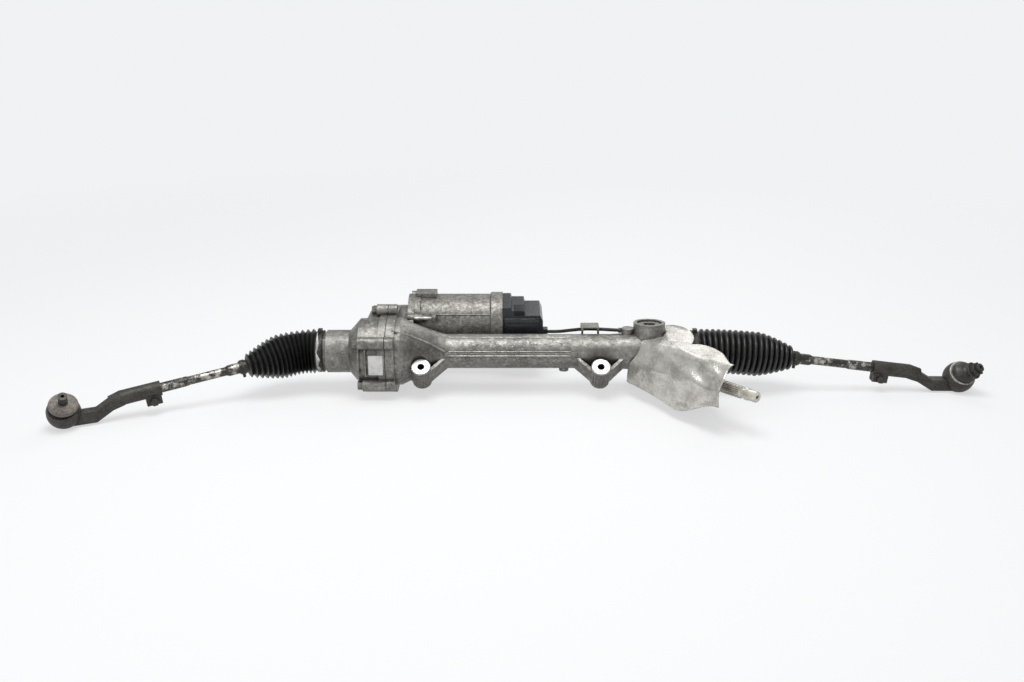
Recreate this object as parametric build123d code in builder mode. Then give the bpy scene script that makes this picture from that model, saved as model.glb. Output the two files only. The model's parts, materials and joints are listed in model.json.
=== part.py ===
from build123d import *
import math
import os

# Electric steering rack with a motor beside the rack, a toothed belt and a ball nut.
# Millimetres.  The origin is the middle of the upper face of the left mounting bore.
# +X runs along the rack towards the input-shaft side, +Z is up and -Y is the front.

os.makedirs("parts", exist_ok=True)

# ---- clearances -------------------------------------------------------------------
FIT = 0.04            # running fit of a shaft in its hole, on the radius
SEAT_GAP = 0.02       # gap of a seated piece, on the radius
SWING_GAP = 0.4       # air between a swinging piece and what it swings past
STOP_GAP = 0.5        # what is left of the travel when a socket meets its stop

# ---- mounting bores ---------------------------------------------------------------
MOUNT_SPACING = 257.0
MOUNT_OFFSET = 39.0   # bore axis to rack axis, square to the bore
MOUNT_FACE = 17.2     # upper face above the rack axis, along the bore
BORE_Y = -0.6         # direction of the bores, towards the bolt heads
BORE_Z = 0.8
MOUNT_BOSS_R = 14.0
MOUNT_BOSS_L = 36.0
SPOT_DEPTH = 30.0
SLEEVE_R = 12.6
SLEEVE_BORE_R = 5.25
SLEEVE_PROUD = 0.8

# ---- rack and its axis ------------------------------------------------------------
RACK_Y = -BORE_Y * MOUNT_FACE + BORE_Z * MOUNT_OFFSET
RACK_Z = -BORE_Y * MOUNT_OFFSET - BORE_Z * MOUNT_FACE
RACK_R = 13.0
BENCH = 60.0          # rack axis above the surface that the assembly lies on
TRAVEL_LEFT = 81.0
TRAVEL_RIGHT = 49.0
BALL_X_LEFT = -170.0
BALL_X_RIGHT = 451.0
SOCKET_HALF = 18.0    # ball centre to the face that meets the rack bar
SOCKET_R = 19.5
INNER_BALL_R = 14.0
SOCKET_MOUTH_R = 12.2
SOCKET_RIM = 10.0
SHANK_R = 8.0
SHANK_L = 15.0

# ---- housing ----------------------------------------------------------------------
END_LEFT = -153.0
END_RIGHT = 400.0
PARTING = -49.5
SHELL_R = 49.0
FLANGE_R = 52.0
FLANGE_T = 12.0
TUBE_R = 25.0
TUBE_RIB = 5.0
TUBE_RIB_PROUD = 2.2
TUBE_BORE_R = 15.5
GUIDE_R = 14.2
LEFT_TUBE_R = 31.0
RIGHT_TUBE_R = 28.6
BOOT_SEAT_R = 27.5
BOOT_SEAT_L = 12.0
MOUTH_R = 24.6
MOUTH_L = 22.0
POCKET_R = 21.0       # room for an inner socket at full travel
STOP_LEFT = BALL_X_LEFT + SOCKET_HALF + TRAVEL_RIGHT + STOP_GAP
STOP_RIGHT = BALL_X_RIGHT - SOCKET_HALF - TRAVEL_LEFT - STOP_GAP
LUG_R = 9.0
LUG_DROP = BENCH - LUG_R
LUG_FRONT = -8.0
LUG_BACK = 28.0
COVER_BOLT_R = 4.0
COVER_BOLT_HEAD_R = 6.5
COVER_BOLT_HEAD_L = 6.0
COVER_DEPTH = 30.0    # depth of the belt case left of the parting face
SEAL_T = 1.0

# ---- motor and belt ---------------------------------------------------------------
MOTOR_BACK = 77.0
MOTOR_UP = 22.0
MOTOR_R = 42.0
MOTOR_WALL = 3.2
MOTOR_X = -15.0
MOTOR_L = 115.0
MOTOR_FLANGE_T = 10.0
MOTOR_CAP_L = 16.0
MOTOR_LOBE_R = 24.0
MOTOR_SHAFT_R = 6.0
ROTOR_R = 23.0
STATOR_R = 24.0
BELT_W = 18.0
BELT_T = 2.6
BELT_X = -72.0
BELT_GAP = 0.1
BIG_TEETH = 48
SMALL_TEETH = 18
BELT_PITCH = 5.0
BIG_PULLEY_R = BIG_TEETH * BELT_PITCH / (2 * math.pi)
SMALL_PULLEY_R = SMALL_TEETH * BELT_PITCH / (2 * math.pi)
CASE_WALL = 4.0
MOTOR_SCREW_R = 3.0
MOTOR_SCREWS = 47.0
MOTOR_SCREW_TURN = 158.0
MOTOR_LUG_R = 7.0

# ---- ball nut ---------------------------------------------------------------------
NUT_X = -84.0
NUT_L = 56.0
NUT_R = 22.0
NUT_OVERHANG = 18.0    # ball nut past its bearing
BEARING_X = NUT_X + NUT_L - NUT_OVERHANG
BEARING_W = 14.0
BEARING_IN_R = 26.0
BEARING_OUT_R = 31.0
BEARING_OD_R = 36.0
ROLLER_R = 2.4
LOCK_RING_W = 4.0

# ---- control unit -----------------------------------------------------------------
ECU_L = 60.0
ECU_HALF = 39.0
ECU_WALL = 2.4
ECU_TOP = 31.0
ECU_STEP = 7.0
ECU_FOOT = -40.0

# ---- pinion and input shaft -------------------------------------------------------
PINION_X = 329.0
SKEW = 35.0
RISE = 4.5
MODULE = 1.75
PINION_TEETH = 8
PRESSURE = 25.0
SHIFT = 0.35
PINION_TIP_R = 8.9
RACK_TOOTH_TIP = 10.4  # rack axis to the tips of the rack teeth
BACKLASH = 0.12
TOOTH_FACE = 19.0
REAR_JOURNAL_R = 5.0
FRONT_JOURNAL_R = 9.0
FRONT_BEARING_R = 11.5
FRONT_BEARING_AT = 29.0
FRONT_BEARING_W = 8.0
BORE_TORSION_R = 4.0
INPUT_R = 7.5
INPUT_END = 211.0
SENSOR_START = 52.0
HUB_START = SENSOR_START + 6.0
INPUT_START = HUB_START + 14.0
SENSOR_R = 25.0
SENSOR_L = 58.0

# ---- yoke -------------------------------------------------------------------------
YOKE_R = 15.5
YOKE_TOP = 27.0
YOKE_BOSS_R = 23.0
YOKE_BOSS_TOP = 43.0
PLUG_R = 18.0
PLUG_T = 9.0

# ---- tie rods ---------------------------------------------------------------------
ROD_LENGTH = 336.0
ROD_R = 6.2
ROD_NECK_R = 5.8
ROD_THREAD_R = 7.0
BOOT_LAND_R = 8.0
SLEEVE_START = ROD_LENGTH - 128.0
ROD_LAND_END = 114.0
TIE_SLEEVE_R = 10.5
TIE_SLEEVE_L = 54.0
TIE_TAPER_L = 16.0
TIE_BORE_L = 46.0
TIE_LUG_L = 21.0
ARM_R = 8.6
ARM_DROP = 11.0
END_BALL_R = 13.0
END_CASE_R = 22.4
END_CASE_TOP = 12.0
END_CASE_FOOT = 20.6
END_PLATE_R = 8.0
STUD_R = 6.0
STUD_L = 40.0         # from the middle of its ball
NUT_FLANGE_R = 12.0
NUT_HEX_R = 10.4
LEFT_OUTER = (-305.4, -140.7, -38.2)
RIGHT_OUTER = (331.7, -5.7, -38.2)
LEFT_CASE_TILT = 41.0   # mouth of the ball case, tipped from upright to the front
RIGHT_CASE_TILT = 43.0
LEFT_STUD_LEAN = -7.0    # lean of each stud in its case, outwards along the rod
RIGHT_STUD_LEAN = 24.0

# ---- bellows ----------------------------------------------------------------------
BELLOWS_R = 32.5
BELLOWS_WALL = 1.6
BELLOWS_SMALL_R = 16.5
BELLOWS_MOUTH = 2.0    # folds start this far past the housing's end
BELLOWS_EASE = 0.36    # how far each end keeps its own direction
FOLD_DEPTH = 5.0
FOLDS = {"left": 15, "right": 17}
FOLD_SHOULDER = {"left": 0.5, "right": 0.62}   # where the folds start to draw in
BOOT_END = 88.0
BOOT_CUFF_L = 11.0
CLAMP_T = 1.0
CLAMP_W = 9.0


def across(x):
    """The plane square to the rack at x: its own x runs back and its own y runs up."""
    return Plane(origin=(x, RACK_Y, RACK_Z), x_dir=(0, 1, 0), z_dir=(1, 0, 0))


def turned(points, plane, axis):
    """A solid turned around an axis from its half section."""
    with BuildPart() as body:
        with BuildSketch(plane):
            with BuildLine():
                Polyline(*points, close=True)
            make_face()
        revolve(axis=axis)
    return body.part


def unit(vector):
    length = math.sqrt(sum(c * c for c in vector))
    return tuple(c / length for c in vector)


SIDE = Plane(origin=(0, RACK_Y, RACK_Z), x_dir=(1, 0, 0), z_dir=(0, -1, 0))
RACK_AXIS = Axis((0, RACK_Y, RACK_Z), (1, 0, 0))
MOTOR_SIDE = Plane(
    origin=(0, RACK_Y + MOTOR_BACK, RACK_Z + MOTOR_UP), x_dir=(1, 0, 0), z_dir=(0, -1, 0)
)
MOTOR_AXIS = Axis(MOTOR_SIDE.origin, (1, 0, 0))
MOTOR_AT = (MOTOR_BACK, MOTOR_UP)

skew = math.radians(SKEW)
rise = math.radians(RISE)
PINION_DIR = (
    math.sin(skew),
    -math.cos(skew) * math.cos(rise),
    math.cos(skew) * math.sin(rise),
)
MESH_DIR = (0.0, math.sin(rise), math.cos(rise))
PITCH_R = MODULE * PINION_TEETH / 2
RACK_PITCH_LINE = RACK_TOOTH_TIP - MODULE
PINION_DROP = RACK_PITCH_LINE + PITCH_R + SHIFT * MODULE
PINION_AT = (
    PINION_X,
    RACK_Y - PINION_DROP * MESH_DIR[1],
    RACK_Z - PINION_DROP * MESH_DIR[2],
)
PINION_FACE = Plane(origin=PINION_AT, x_dir=MESH_DIR, z_dir=PINION_DIR)
# along the input axis: its own x is the distance along the axis, its own y is up
PINION_LONG = Plane(
    origin=PINION_AT, x_dir=PINION_DIR, z_dir=tuple(-c for c in PINION_FACE.y_dir)
)
PINION_AXIS = Axis(PINION_AT, PINION_DIR)
YOKE_LONG = Plane(
    origin=(PINION_X, RACK_Y, RACK_Z), x_dir=(1, 0, 0), z_dir=(0, -MESH_DIR[2], MESH_DIR[1])
)
YOKE_AXIS = Axis(YOKE_LONG.origin, MESH_DIR)


def bore_plane(x):
    """The upper face of a mounting boss: its own y runs towards the rack."""
    return Plane(origin=(x, 0, 0), x_dir=(1, 0, 0), z_dir=(0, BORE_Y, BORE_Z))


LUGS = ((LUG_FRONT, -LUG_DROP), (LUG_BACK, -LUG_DROP))
COVER_BOLTS = (
    (LUG_FRONT, -LUG_DROP),
    (LUG_BACK, -LUG_DROP),
    (-40.0, -38.0),
    (-47.6, 28.0),
    (20.0, 56.0),
    (88.0, -8.0),
)
COVER_SEATS = (34.0, 30.0, 34.0, 38.0, 17.0, 30.0)   # bolt heads ahead of the parting face

# ---- main housing -----------------------------------------------------------------
CONE_END = 34.0
FOOT_X = 322.0
FOOT_BACK = 30.0
SENSOR_FLANGE_R = 27.0
WEB_HALF = 41.0
WEB_WALL = 5.0
with BuildPart() as main_housing:
    # mounting bosses with their V webs
    for mount_x in (0.0, MOUNT_SPACING):
        with BuildSketch(bore_plane(mount_x).offset(-MOUNT_BOSS_L + 4)):
            Circle(MOUNT_BOSS_R - 1)
            with Locations((-WEB_HALF, MOUNT_OFFSET - 8), (WEB_HALF, MOUNT_OFFSET - 8)):
                Circle(WEB_WALL)
            make_hull()
        extrude(amount=MOUNT_BOSS_L - 8)
        with BuildSketch(bore_plane(mount_x).offset(-MOUNT_BOSS_L + 12)):
            Circle(MOUNT_BOSS_R - 1 - WEB_WALL)
            with Locations((-WEB_HALF, MOUNT_OFFSET - 8), (WEB_HALF, MOUNT_OFFSET - 8)):
                Circle(1.0)
            make_hull()
        extrude(amount=MOUNT_BOSS_L, mode=Mode.SUBTRACT)
        with BuildSketch(bore_plane(mount_x)):
            Circle(MOUNT_BOSS_R)
        extrude(amount=-MOUNT_BOSS_L)
        with BuildSketch(bore_plane(mount_x).offset(-MOUNT_BOSS_L + 4)):
            with Locations((0, MOUNT_OFFSET / 2 + 2)):
                Rectangle(3.0, MOUNT_OFFSET - 8)
        extrude(amount=MOUNT_BOSS_L - 10)
    # tube, belt shell and right end, turned around the rack
    with BuildSketch(SIDE):
        with BuildLine():
            Polyline(
                (PARTING, 0),
                (PARTING, SHELL_R),
                (PARTING + FLANGE_T + 8, SHELL_R),
                (PARTING + FLANGE_T + 24, 41.0),
                (CONE_END - 14, 28.5),
                (CONE_END, TUBE_R),
                (PINION_X - 56, TUBE_R),
                (PINION_X - 30, RIGHT_TUBE_R - 2),
                (PINION_X + 30, RIGHT_TUBE_R),
                (END_RIGHT - BOOT_SEAT_L - 4, RIGHT_TUBE_R),
                (END_RIGHT - BOOT_SEAT_L - 2, BOOT_SEAT_R),
                (END_RIGHT, BOOT_SEAT_R),
                (END_RIGHT, 0),
                close=True,
            )
        make_face()
    revolve(axis=RACK_AXIS)
    # belt case flange, shared with the cover
    with BuildSketch(across(PARTING)):
        Circle(FLANGE_R)
        with Locations(MOTOR_AT):
            Circle(MOTOR_LOBE_R)
        with Locations(*LUGS):
            Circle(LUG_R)
        make_hull()
        with Locations(*COVER_BOLTS):
            Circle(LUG_R)
    extrude(amount=FLANGE_T)
    # motor flange
    with BuildSketch(across(PARTING + 4)):
        with Locations(MOTOR_AT):
            Circle(MOTOR_LOBE_R)
        with Locations((MOTOR_BACK / 2, MOTOR_UP / 2)):
            Circle(30.0)
        make_hull()
    extrude(amount=MOTOR_X - PARTING - 4)
    with BuildSketch(across(MOTOR_X - MOTOR_FLANGE_T)):
        with Locations(MOTOR_AT):
            Circle(MOTOR_R - 1)
        with Locations((MOTOR_BACK / 2, MOTOR_UP / 2)):
            Circle(30.0)
        make_hull()
    extrude(amount=MOTOR_FLANGE_T)
    with BuildSketch(across(MOTOR_X - 9)):
        with Locations(MOTOR_AT):
            with PolarLocations(MOTOR_SCREWS, 3, start_angle=MOTOR_SCREW_TURN):
                Circle(MOTOR_LUG_R)
    extrude(amount=9.0)
    with BuildSketch(across(MOTOR_X)):
        with Locations(MOTOR_AT):
            Circle(MOTOR_R + 2.4)
            with PolarLocations(MOTOR_SCREWS, 3, start_angle=MOTOR_SCREW_TURN):
                Circle(MOTOR_LUG_R + 0.6)
    extrude(amount=60.0, mode=Mode.SUBTRACT)
    with BuildSketch(across(MOTOR_X)):
        with Locations(MOTOR_AT):
            with PolarLocations(MOTOR_SCREWS, 3, start_angle=MOTOR_SCREW_TURN):
                Circle(MOTOR_SCREW_R + SEAT_GAP)
    extrude(amount=-8.0, mode=Mode.SUBTRACT)
    # casting rib along the tube
    with Locations(SIDE.location):
        with Locations((128.0, 3.5, TUBE_R - 2.0 + TUBE_RIB_PROUD / 2)):
            Box(190.0, TUBE_RIB, 4.0 + TUBE_RIB_PROUD)
    # yoke boss and the boss of the sensor plug
    with BuildSketch(Plane(YOKE_LONG.origin, x_dir=(1, 0, 0), z_dir=MESH_DIR)):
        Circle(YOKE_BOSS_R)
    extrude(amount=YOKE_BOSS_TOP)
    with BuildSketch(Plane((PINION_X - 31.0, RACK_Y + 3, RACK_Z), z_dir=(0, 0, 1))):
        Circle(LUG_R)
    extrude(amount=34.5)
    # pinion boss, its flange and the cap of the rear bearing
    with BuildSketch(PINION_FACE.offset(-38.0)):
        Circle(14.0)
    extrude(amount=24.0)
    with BuildSketch(PINION_FACE.offset(-20.0)):
        Circle(21.0)
    extrude(amount=SENSOR_START + 20.0 - SEAT_GAP)
    with BuildSketch(PINION_FACE.offset(SENSOR_START - 7.0)):
        Circle(SENSOR_FLANGE_R)
    extrude(amount=7.0 - SEAT_GAP)
    # cast foot behind the pinion
    with BuildSketch(
        Plane((FOOT_X, RACK_Y + FOOT_BACK, RACK_Z - BENCH), x_dir=(1, 0, 0), z_dir=(0, 0, 1))
    ):
        RectangleRounded(34.0, 16.0, 5.0)
    extrude(amount=BENCH - 12)
    with BuildSketch(
        Plane((FOOT_X, RACK_Y + 12.0, RACK_Z - 34.0), x_dir=(1, 0, 0), z_dir=(0, 0, 1))
    ):
        Rectangle(12.0, 40.0)
    extrude(amount=30.0)
    # locating boss under the tube
    with BuildSketch(Plane((206.0, RACK_Y, RACK_Z - TUBE_R - 4.5), z_dir=(0, 0, 1))):
        Circle(7.0)
    extrude(amount=10.0)
    # bores along the rack
    with BuildSketch(SIDE):
        with BuildLine():
            Polyline(
                (PARTING, 0),
                (PARTING, BEARING_OD_R + SEAT_GAP),
                (BEARING_X + BEARING_W, BEARING_OD_R + SEAT_GAP),
                (BEARING_X + BEARING_W, NUT_R + 6),
                (NUT_X + NUT_L + 6, NUT_R + 6),
                (NUT_X + NUT_L + 18, TUBE_BORE_R),
                (PINION_X - 40, TUBE_BORE_R),
                (PINION_X - 40, GUIDE_R),
                (STOP_RIGHT, GUIDE_R),
                (STOP_RIGHT, POCKET_R),
                (END_RIGHT - MOUTH_L, POCKET_R),
                (END_RIGHT, MOUTH_R),
                (END_RIGHT, 0),
                close=True,
            )
        make_face()
    revolve(axis=RACK_AXIS, mode=Mode.SUBTRACT)
    # pinion bores
    with BuildSketch(PINION_LONG):
        with BuildLine():
            Polyline(
                (-34.0, 0),
                (-34.0, 9.0 + SEAT_GAP),
                (-TOOTH_FACE - 1, 9.0 + SEAT_GAP),
                (-TOOTH_FACE - 1, PINION_TIP_R + 0.8),
                (FRONT_BEARING_AT, PINION_TIP_R + 0.8),
                (FRONT_BEARING_AT, FRONT_BEARING_R + SEAT_GAP),
                (FRONT_BEARING_AT + FRONT_BEARING_W, FRONT_BEARING_R + SEAT_GAP),
                (FRONT_BEARING_AT + FRONT_BEARING_W, 15.0),
                (SENSOR_START + 1, 15.0),
                (SENSOR_START + 1, 0),
                close=True,
            )
        make_face()
    revolve(axis=PINION_AXIS, mode=Mode.SUBTRACT)
    # yoke bore and plug seat
    with BuildSketch(Plane(YOKE_LONG.origin, x_dir=(1, 0, 0), z_dir=MESH_DIR)):
        Circle(YOKE_R + FIT)
    extrude(amount=YOKE_BOSS_TOP, mode=Mode.SUBTRACT)
    with BuildSketch(
        Plane(YOKE_LONG.origin, x_dir=(1, 0, 0), z_dir=MESH_DIR).offset(YOKE_BOSS_TOP - PLUG_T)
    ):
        Circle(PLUG_R + SEAT_GAP)
    extrude(amount=PLUG_T, mode=Mode.SUBTRACT)
    # mounting bores, spot-faced for the bolt heads
    for mount_x in (0.0, MOUNT_SPACING):
        with BuildSketch(bore_plane(mount_x)):
            Circle(MOUNT_BOSS_R + 0.5)
        extrude(amount=SPOT_DEPTH, mode=Mode.SUBTRACT)
        with BuildSketch(bore_plane(mount_x).offset(1.0)):
            Circle(SLEEVE_R + SEAT_GAP)
        extrude(amount=-5.0, mode=Mode.SUBTRACT)
        with BuildSketch(bore_plane(mount_x)):
            Circle(SLEEVE_BORE_R + 3.0 + SEAT_GAP)
        extrude(amount=-MOUNT_BOSS_L, mode=Mode.SUBTRACT)
    # motor shaft passage and threaded holes of the cover
    with BuildSketch(across(PARTING)):
        with Locations(MOTOR_AT):
            Circle(SMALL_PULLEY_R + BELT_T + 2.5)
    extrude(amount=MOTOR_X - PARTING, mode=Mode.SUBTRACT)
    with BuildSketch(across(PARTING)):
        with Locations(*COVER_BOLTS):
            Circle(COVER_BOLT_R + SEAT_GAP)
    extrude(amount=FLANGE_T - 2, mode=Mode.SUBTRACT)
main_housing.part.label = "main_housing"

# ---- belt cover with the left tube ------------------------------------------------
COVER_FACE = PARTING - SEAL_T - SEAT_GAP
COVER_END = PARTING - COVER_DEPTH
SHOULDER = COVER_END - 10.0
with BuildPart() as gear_cover:
    with BuildSketch(SIDE):
        with BuildLine():
            Polyline(
                (COVER_FACE, 0),
                (COVER_FACE, SHELL_R),
                (SHOULDER, SHELL_R - 1),
                (SHOULDER - 15, LEFT_TUBE_R),
                (END_LEFT + BOOT_SEAT_L + 3, LEFT_TUBE_R),
                (END_LEFT + BOOT_SEAT_L + 2, BOOT_SEAT_R),
                (END_LEFT, BOOT_SEAT_R),
                (END_LEFT, 0),
                close=True,
            )
        make_face()
    revolve(axis=RACK_AXIS)
    with BuildSketch(across(COVER_FACE)):
        Circle(FLANGE_R)
        with Locations(MOTOR_AT):
            Circle(MOTOR_LOBE_R)
        with Locations(*LUGS):
            Circle(LUG_R)
        make_hull()
        with Locations(*COVER_BOLTS):
            Circle(LUG_R)
    extrude(amount=-10.0)
    with BuildSketch(across(COVER_FACE)):
        Circle(SHELL_R)
        with Locations(MOTOR_AT):
            Circle(MOTOR_LOBE_R - 1)
        make_hull()
    extrude(amount=COVER_END - COVER_FACE)
    for bolt, seat in zip(COVER_BOLTS, COVER_SEATS):
        with BuildSketch(across(COVER_FACE)):
            with Locations(bolt):
                Circle(LUG_R)
        extrude(amount=PARTING - seat - COVER_FACE)
        with BuildSketch(across(PARTING - seat)):
            with Locations(bolt):
                Circle(COVER_BOLT_HEAD_R + SWING_GAP)
        extrude(amount=-COVER_DEPTH, mode=Mode.SUBTRACT)
    # inside: belt room, nut room, stop and room for the inner socket
    with BuildSketch(across(COVER_FACE)):
        Circle(BIG_PULLEY_R + BELT_T + 2.5)
        with Locations(MOTOR_AT):
            Circle(SMALL_PULLEY_R + BELT_T + 2.5)
        make_hull()
    extrude(amount=COVER_END - COVER_FACE + CASE_WALL, mode=Mode.SUBTRACT)
    with BuildSketch(SIDE):
        with BuildLine():
            Polyline(
                (COVER_FACE, 0),
                (COVER_FACE, NUT_R + 2.5),
                (NUT_X - 5, NUT_R + 2.5),
                (NUT_X - 5, GUIDE_R),
                (STOP_LEFT, GUIDE_R),
                (STOP_LEFT, POCKET_R),
                (END_LEFT + MOUTH_L, POCKET_R),
                (END_LEFT, MOUTH_R),
                (END_LEFT, 0),
                close=True,
            )
        make_face()
    revolve(axis=RACK_AXIS, mode=Mode.SUBTRACT)
    with BuildSketch(across(COVER_FACE)):
        with Locations(*COVER_BOLTS):
            Circle(COVER_BOLT_R + SEAT_GAP)
    extrude(amount=-max(COVER_SEATS) - 1, mode=Mode.SUBTRACT)
gear_cover.part.label = "gear_cover"

with BuildPart() as cover_seal:
    with BuildSketch(across(PARTING - SEAT_GAP / 2)):
        Circle(FLANGE_R - 1)
        with Locations(MOTOR_AT):
            Circle(MOTOR_LOBE_R - 1)
        make_hull()
    extrude(amount=-SEAL_T)
    with BuildSketch(across(PARTING - SEAT_GAP / 2)):
        Circle(BIG_PULLEY_R + BELT_T + 2.5)
        with Locations(MOTOR_AT):
            Circle(SMALL_PULLEY_R + BELT_T + 2.5)
        make_hull()
        with Locations(*COVER_BOLTS):
            Circle(COVER_BOLT_R + 0.3)
    extrude(amount=-SEAL_T, mode=Mode.SUBTRACT)
cover_seal.part.label = "cover_seal"

with BuildPart() as cover_bolts:
    for bolt, seat in zip(COVER_BOLTS, COVER_SEATS):
        head_x = PARTING - seat - SEAT_GAP
        with BuildSketch(across(head_x)):
            with Locations(bolt):
                Circle(COVER_BOLT_HEAD_R)
        extrude(amount=-1.5)
        with BuildSketch(across(head_x - 1.5)):
            with Locations(bolt):
                RegularPolygon(COVER_BOLT_HEAD_R, 6)
        extrude(amount=-COVER_BOLT_HEAD_L)
        with BuildSketch(across(head_x)):
            with Locations(bolt):
                Circle(COVER_BOLT_R)
        extrude(amount=PARTING + FLANGE_T - 4 - head_x)
cover_bolts.part.label = "cover_bolts"

# ---- mounting sleeves -------------------------------------------------------------
sleeves = []
for mount_x in (0.0, MOUNT_SPACING):
    with BuildPart() as sleeve:
        with BuildSketch(bore_plane(mount_x).offset(SLEEVE_PROUD)):
            Circle(SLEEVE_R)
        extrude(amount=-SLEEVE_PROUD - 4.0 + SEAT_GAP)
        with BuildSketch(bore_plane(mount_x)):
            Circle(SLEEVE_BORE_R + 3.0)
        extrude(amount=-MOUNT_BOSS_L)
        with BuildSketch(bore_plane(mount_x).offset(SLEEVE_PROUD)):
            Circle(SLEEVE_BORE_R)
        extrude(amount=-MOUNT_BOSS_L - SLEEVE_PROUD, mode=Mode.SUBTRACT)
    sleeves.append(sleeve.part)
sleeves[0].label = "mount_sleeve_left"
sleeves[1].label = "mount_sleeve_right"

# ---- rack bar ---------------------------------------------------------------------
RACK_LEFT = BALL_X_LEFT + SOCKET_HALF
RACK_RIGHT = BALL_X_RIGHT - SOCKET_HALF
TOOTH_PITCH = math.pi * MODULE
PITCH_ALONG = TOOTH_PITCH / math.cos(skew)
GAPS_LEFT = int((TRAVEL_RIGHT + 16) / PITCH_ALONG)
GAPS_RIGHT = int((TRAVEL_LEFT + 16) / PITCH_ALONG)
tan_p = math.tan(math.radians(PRESSURE))
ROOT_DEPTH = 1.25 * MODULE
GAP_HALF = TOOTH_PITCH / 4 + BACKLASH / 2
gap_top = RACK_TOOTH_TIP - RACK_PITCH_LINE + 1.0
with BuildPart() as rack_bar:
    with BuildSketch(across(RACK_LEFT + SEAT_GAP)):
        Circle(RACK_R)
    extrude(amount=RACK_RIGHT - RACK_LEFT - 2 * SEAT_GAP)
    # flat under the teeth
    flat_left = PINION_X - GAPS_LEFT * PITCH_ALONG - PITCH_ALONG
    flat_right = PINION_X + GAPS_RIGHT * PITCH_ALONG + PITCH_ALONG / 2
    with BuildSketch(Plane((0, RACK_Y, RACK_Z), x_dir=(1, 0, 0), z_dir=(0, -MESH_DIR[2], MESH_DIR[1]))):
        with Locations(((flat_left + flat_right) / 2, -RACK_TOOTH_TIP - 3)):
            Rectangle(flat_right - flat_left, 6.0)
    extrude(amount=RACK_R, both=True, mode=Mode.SUBTRACT)
    # tooth gaps, cut along the pinion axis
    for k in range(-GAPS_LEFT, GAPS_RIGHT + 1):
        at = (PINION_X + k * PITCH_ALONG, RACK_Y, RACK_Z)
        with BuildSketch(Plane(origin=at, x_dir=MESH_DIR, z_dir=PINION_DIR)):
            with BuildLine():
                Polyline(
                    (-RACK_PITCH_LINE + ROOT_DEPTH, GAP_HALF - ROOT_DEPTH * tan_p),
                    (-RACK_PITCH_LINE - gap_top, GAP_HALF + gap_top * tan_p),
                    (-RACK_PITCH_LINE - gap_top, -GAP_HALF - gap_top * tan_p),
                    (-RACK_PITCH_LINE + ROOT_DEPTH, -GAP_HALF + ROOT_DEPTH * tan_p),
                    close=True,
                )
            make_face()
        extrude(amount=RACK_R + 8, both=True, mode=Mode.SUBTRACT)
    # threaded ends
    with BuildSketch(across(RACK_LEFT)):
        Circle(SHANK_R + SEAT_GAP)
    extrude(amount=SHANK_L + 1, mode=Mode.SUBTRACT)
    with BuildSketch(across(RACK_RIGHT)):
        Circle(SHANK_R + SEAT_GAP)
    extrude(amount=-SHANK_L - 1, mode=Mode.SUBTRACT)
rack_bar.part.label = "rack_bar"

# ---- inner sockets and their ball seats -------------------------------------------
SEAT_T = 1.6
SOCKET_CAVITY_R = INNER_BALL_R + SEAT_T
sockets = []
seats = []
rim_a = -math.sqrt(SOCKET_CAVITY_R**2 - (SOCKET_MOUTH_R + 0.8) ** 2)
seat_r = SOCKET_CAVITY_R - SEAT_GAP
ball_room = INNER_BALL_R + FIT
seat_rim = SOCKET_RIM - 4.0
for ball_x, side in ((BALL_X_LEFT, 1), (BALL_X_RIGHT, -1)):
    # half section: its own x runs from the ball centre towards the rack bar
    ball_plane = Plane(origin=(ball_x, RACK_Y, RACK_Z), x_dir=(side, 0, 0), z_dir=(0, -side, 0))
    with BuildPart() as socket:
        with BuildSketch(ball_plane):
            with BuildLine():
                ThreePointArc(
                    (rim_a, SOCKET_MOUTH_R + 0.8),
                    (SOCKET_CAVITY_R * 0.6, SOCKET_CAVITY_R * 0.8),
                    (SOCKET_CAVITY_R, 0),
                )
                Polyline(
                    (SOCKET_CAVITY_R, 0),
                    (SOCKET_HALF + SHANK_L, 0),
                    (SOCKET_HALF + SHANK_L, SHANK_R),
                    (SOCKET_HALF, SHANK_R),
                    (SOCKET_HALF, SOCKET_R),
                    (-SOCKET_RIM, SOCKET_R),
                    (-SOCKET_RIM, SOCKET_MOUTH_R + 0.8),
                    (rim_a, SOCKET_MOUTH_R + 0.8),
                )
            make_face()
        revolve(axis=RACK_AXIS)
    sockets.append(socket.part)
    with BuildPart() as seat:
        with BuildSketch(ball_plane):
            with BuildLine():
                ThreePointArc(
                    (-seat_rim, math.sqrt(seat_r**2 - seat_rim**2)),
                    (seat_r * 0.6, seat_r * 0.8),
                    (seat_r, 0),
                )
                Line((seat_r, 0), (ball_room, 0))
                ThreePointArc(
                    (ball_room, 0),
                    (ball_room * 0.6, ball_room * 0.8),
                    (-seat_rim, math.sqrt(ball_room**2 - seat_rim**2)),
                )
                Line(
                    (-seat_rim, math.sqrt(ball_room**2 - seat_rim**2)),
                    (-seat_rim, math.sqrt(seat_r**2 - seat_rim**2)),
                )
            make_face()
        revolve(axis=RACK_AXIS)
    seats.append(seat.part)
sockets[0].label = "inner_socket_left"
sockets[1].label = "inner_socket_right"

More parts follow.
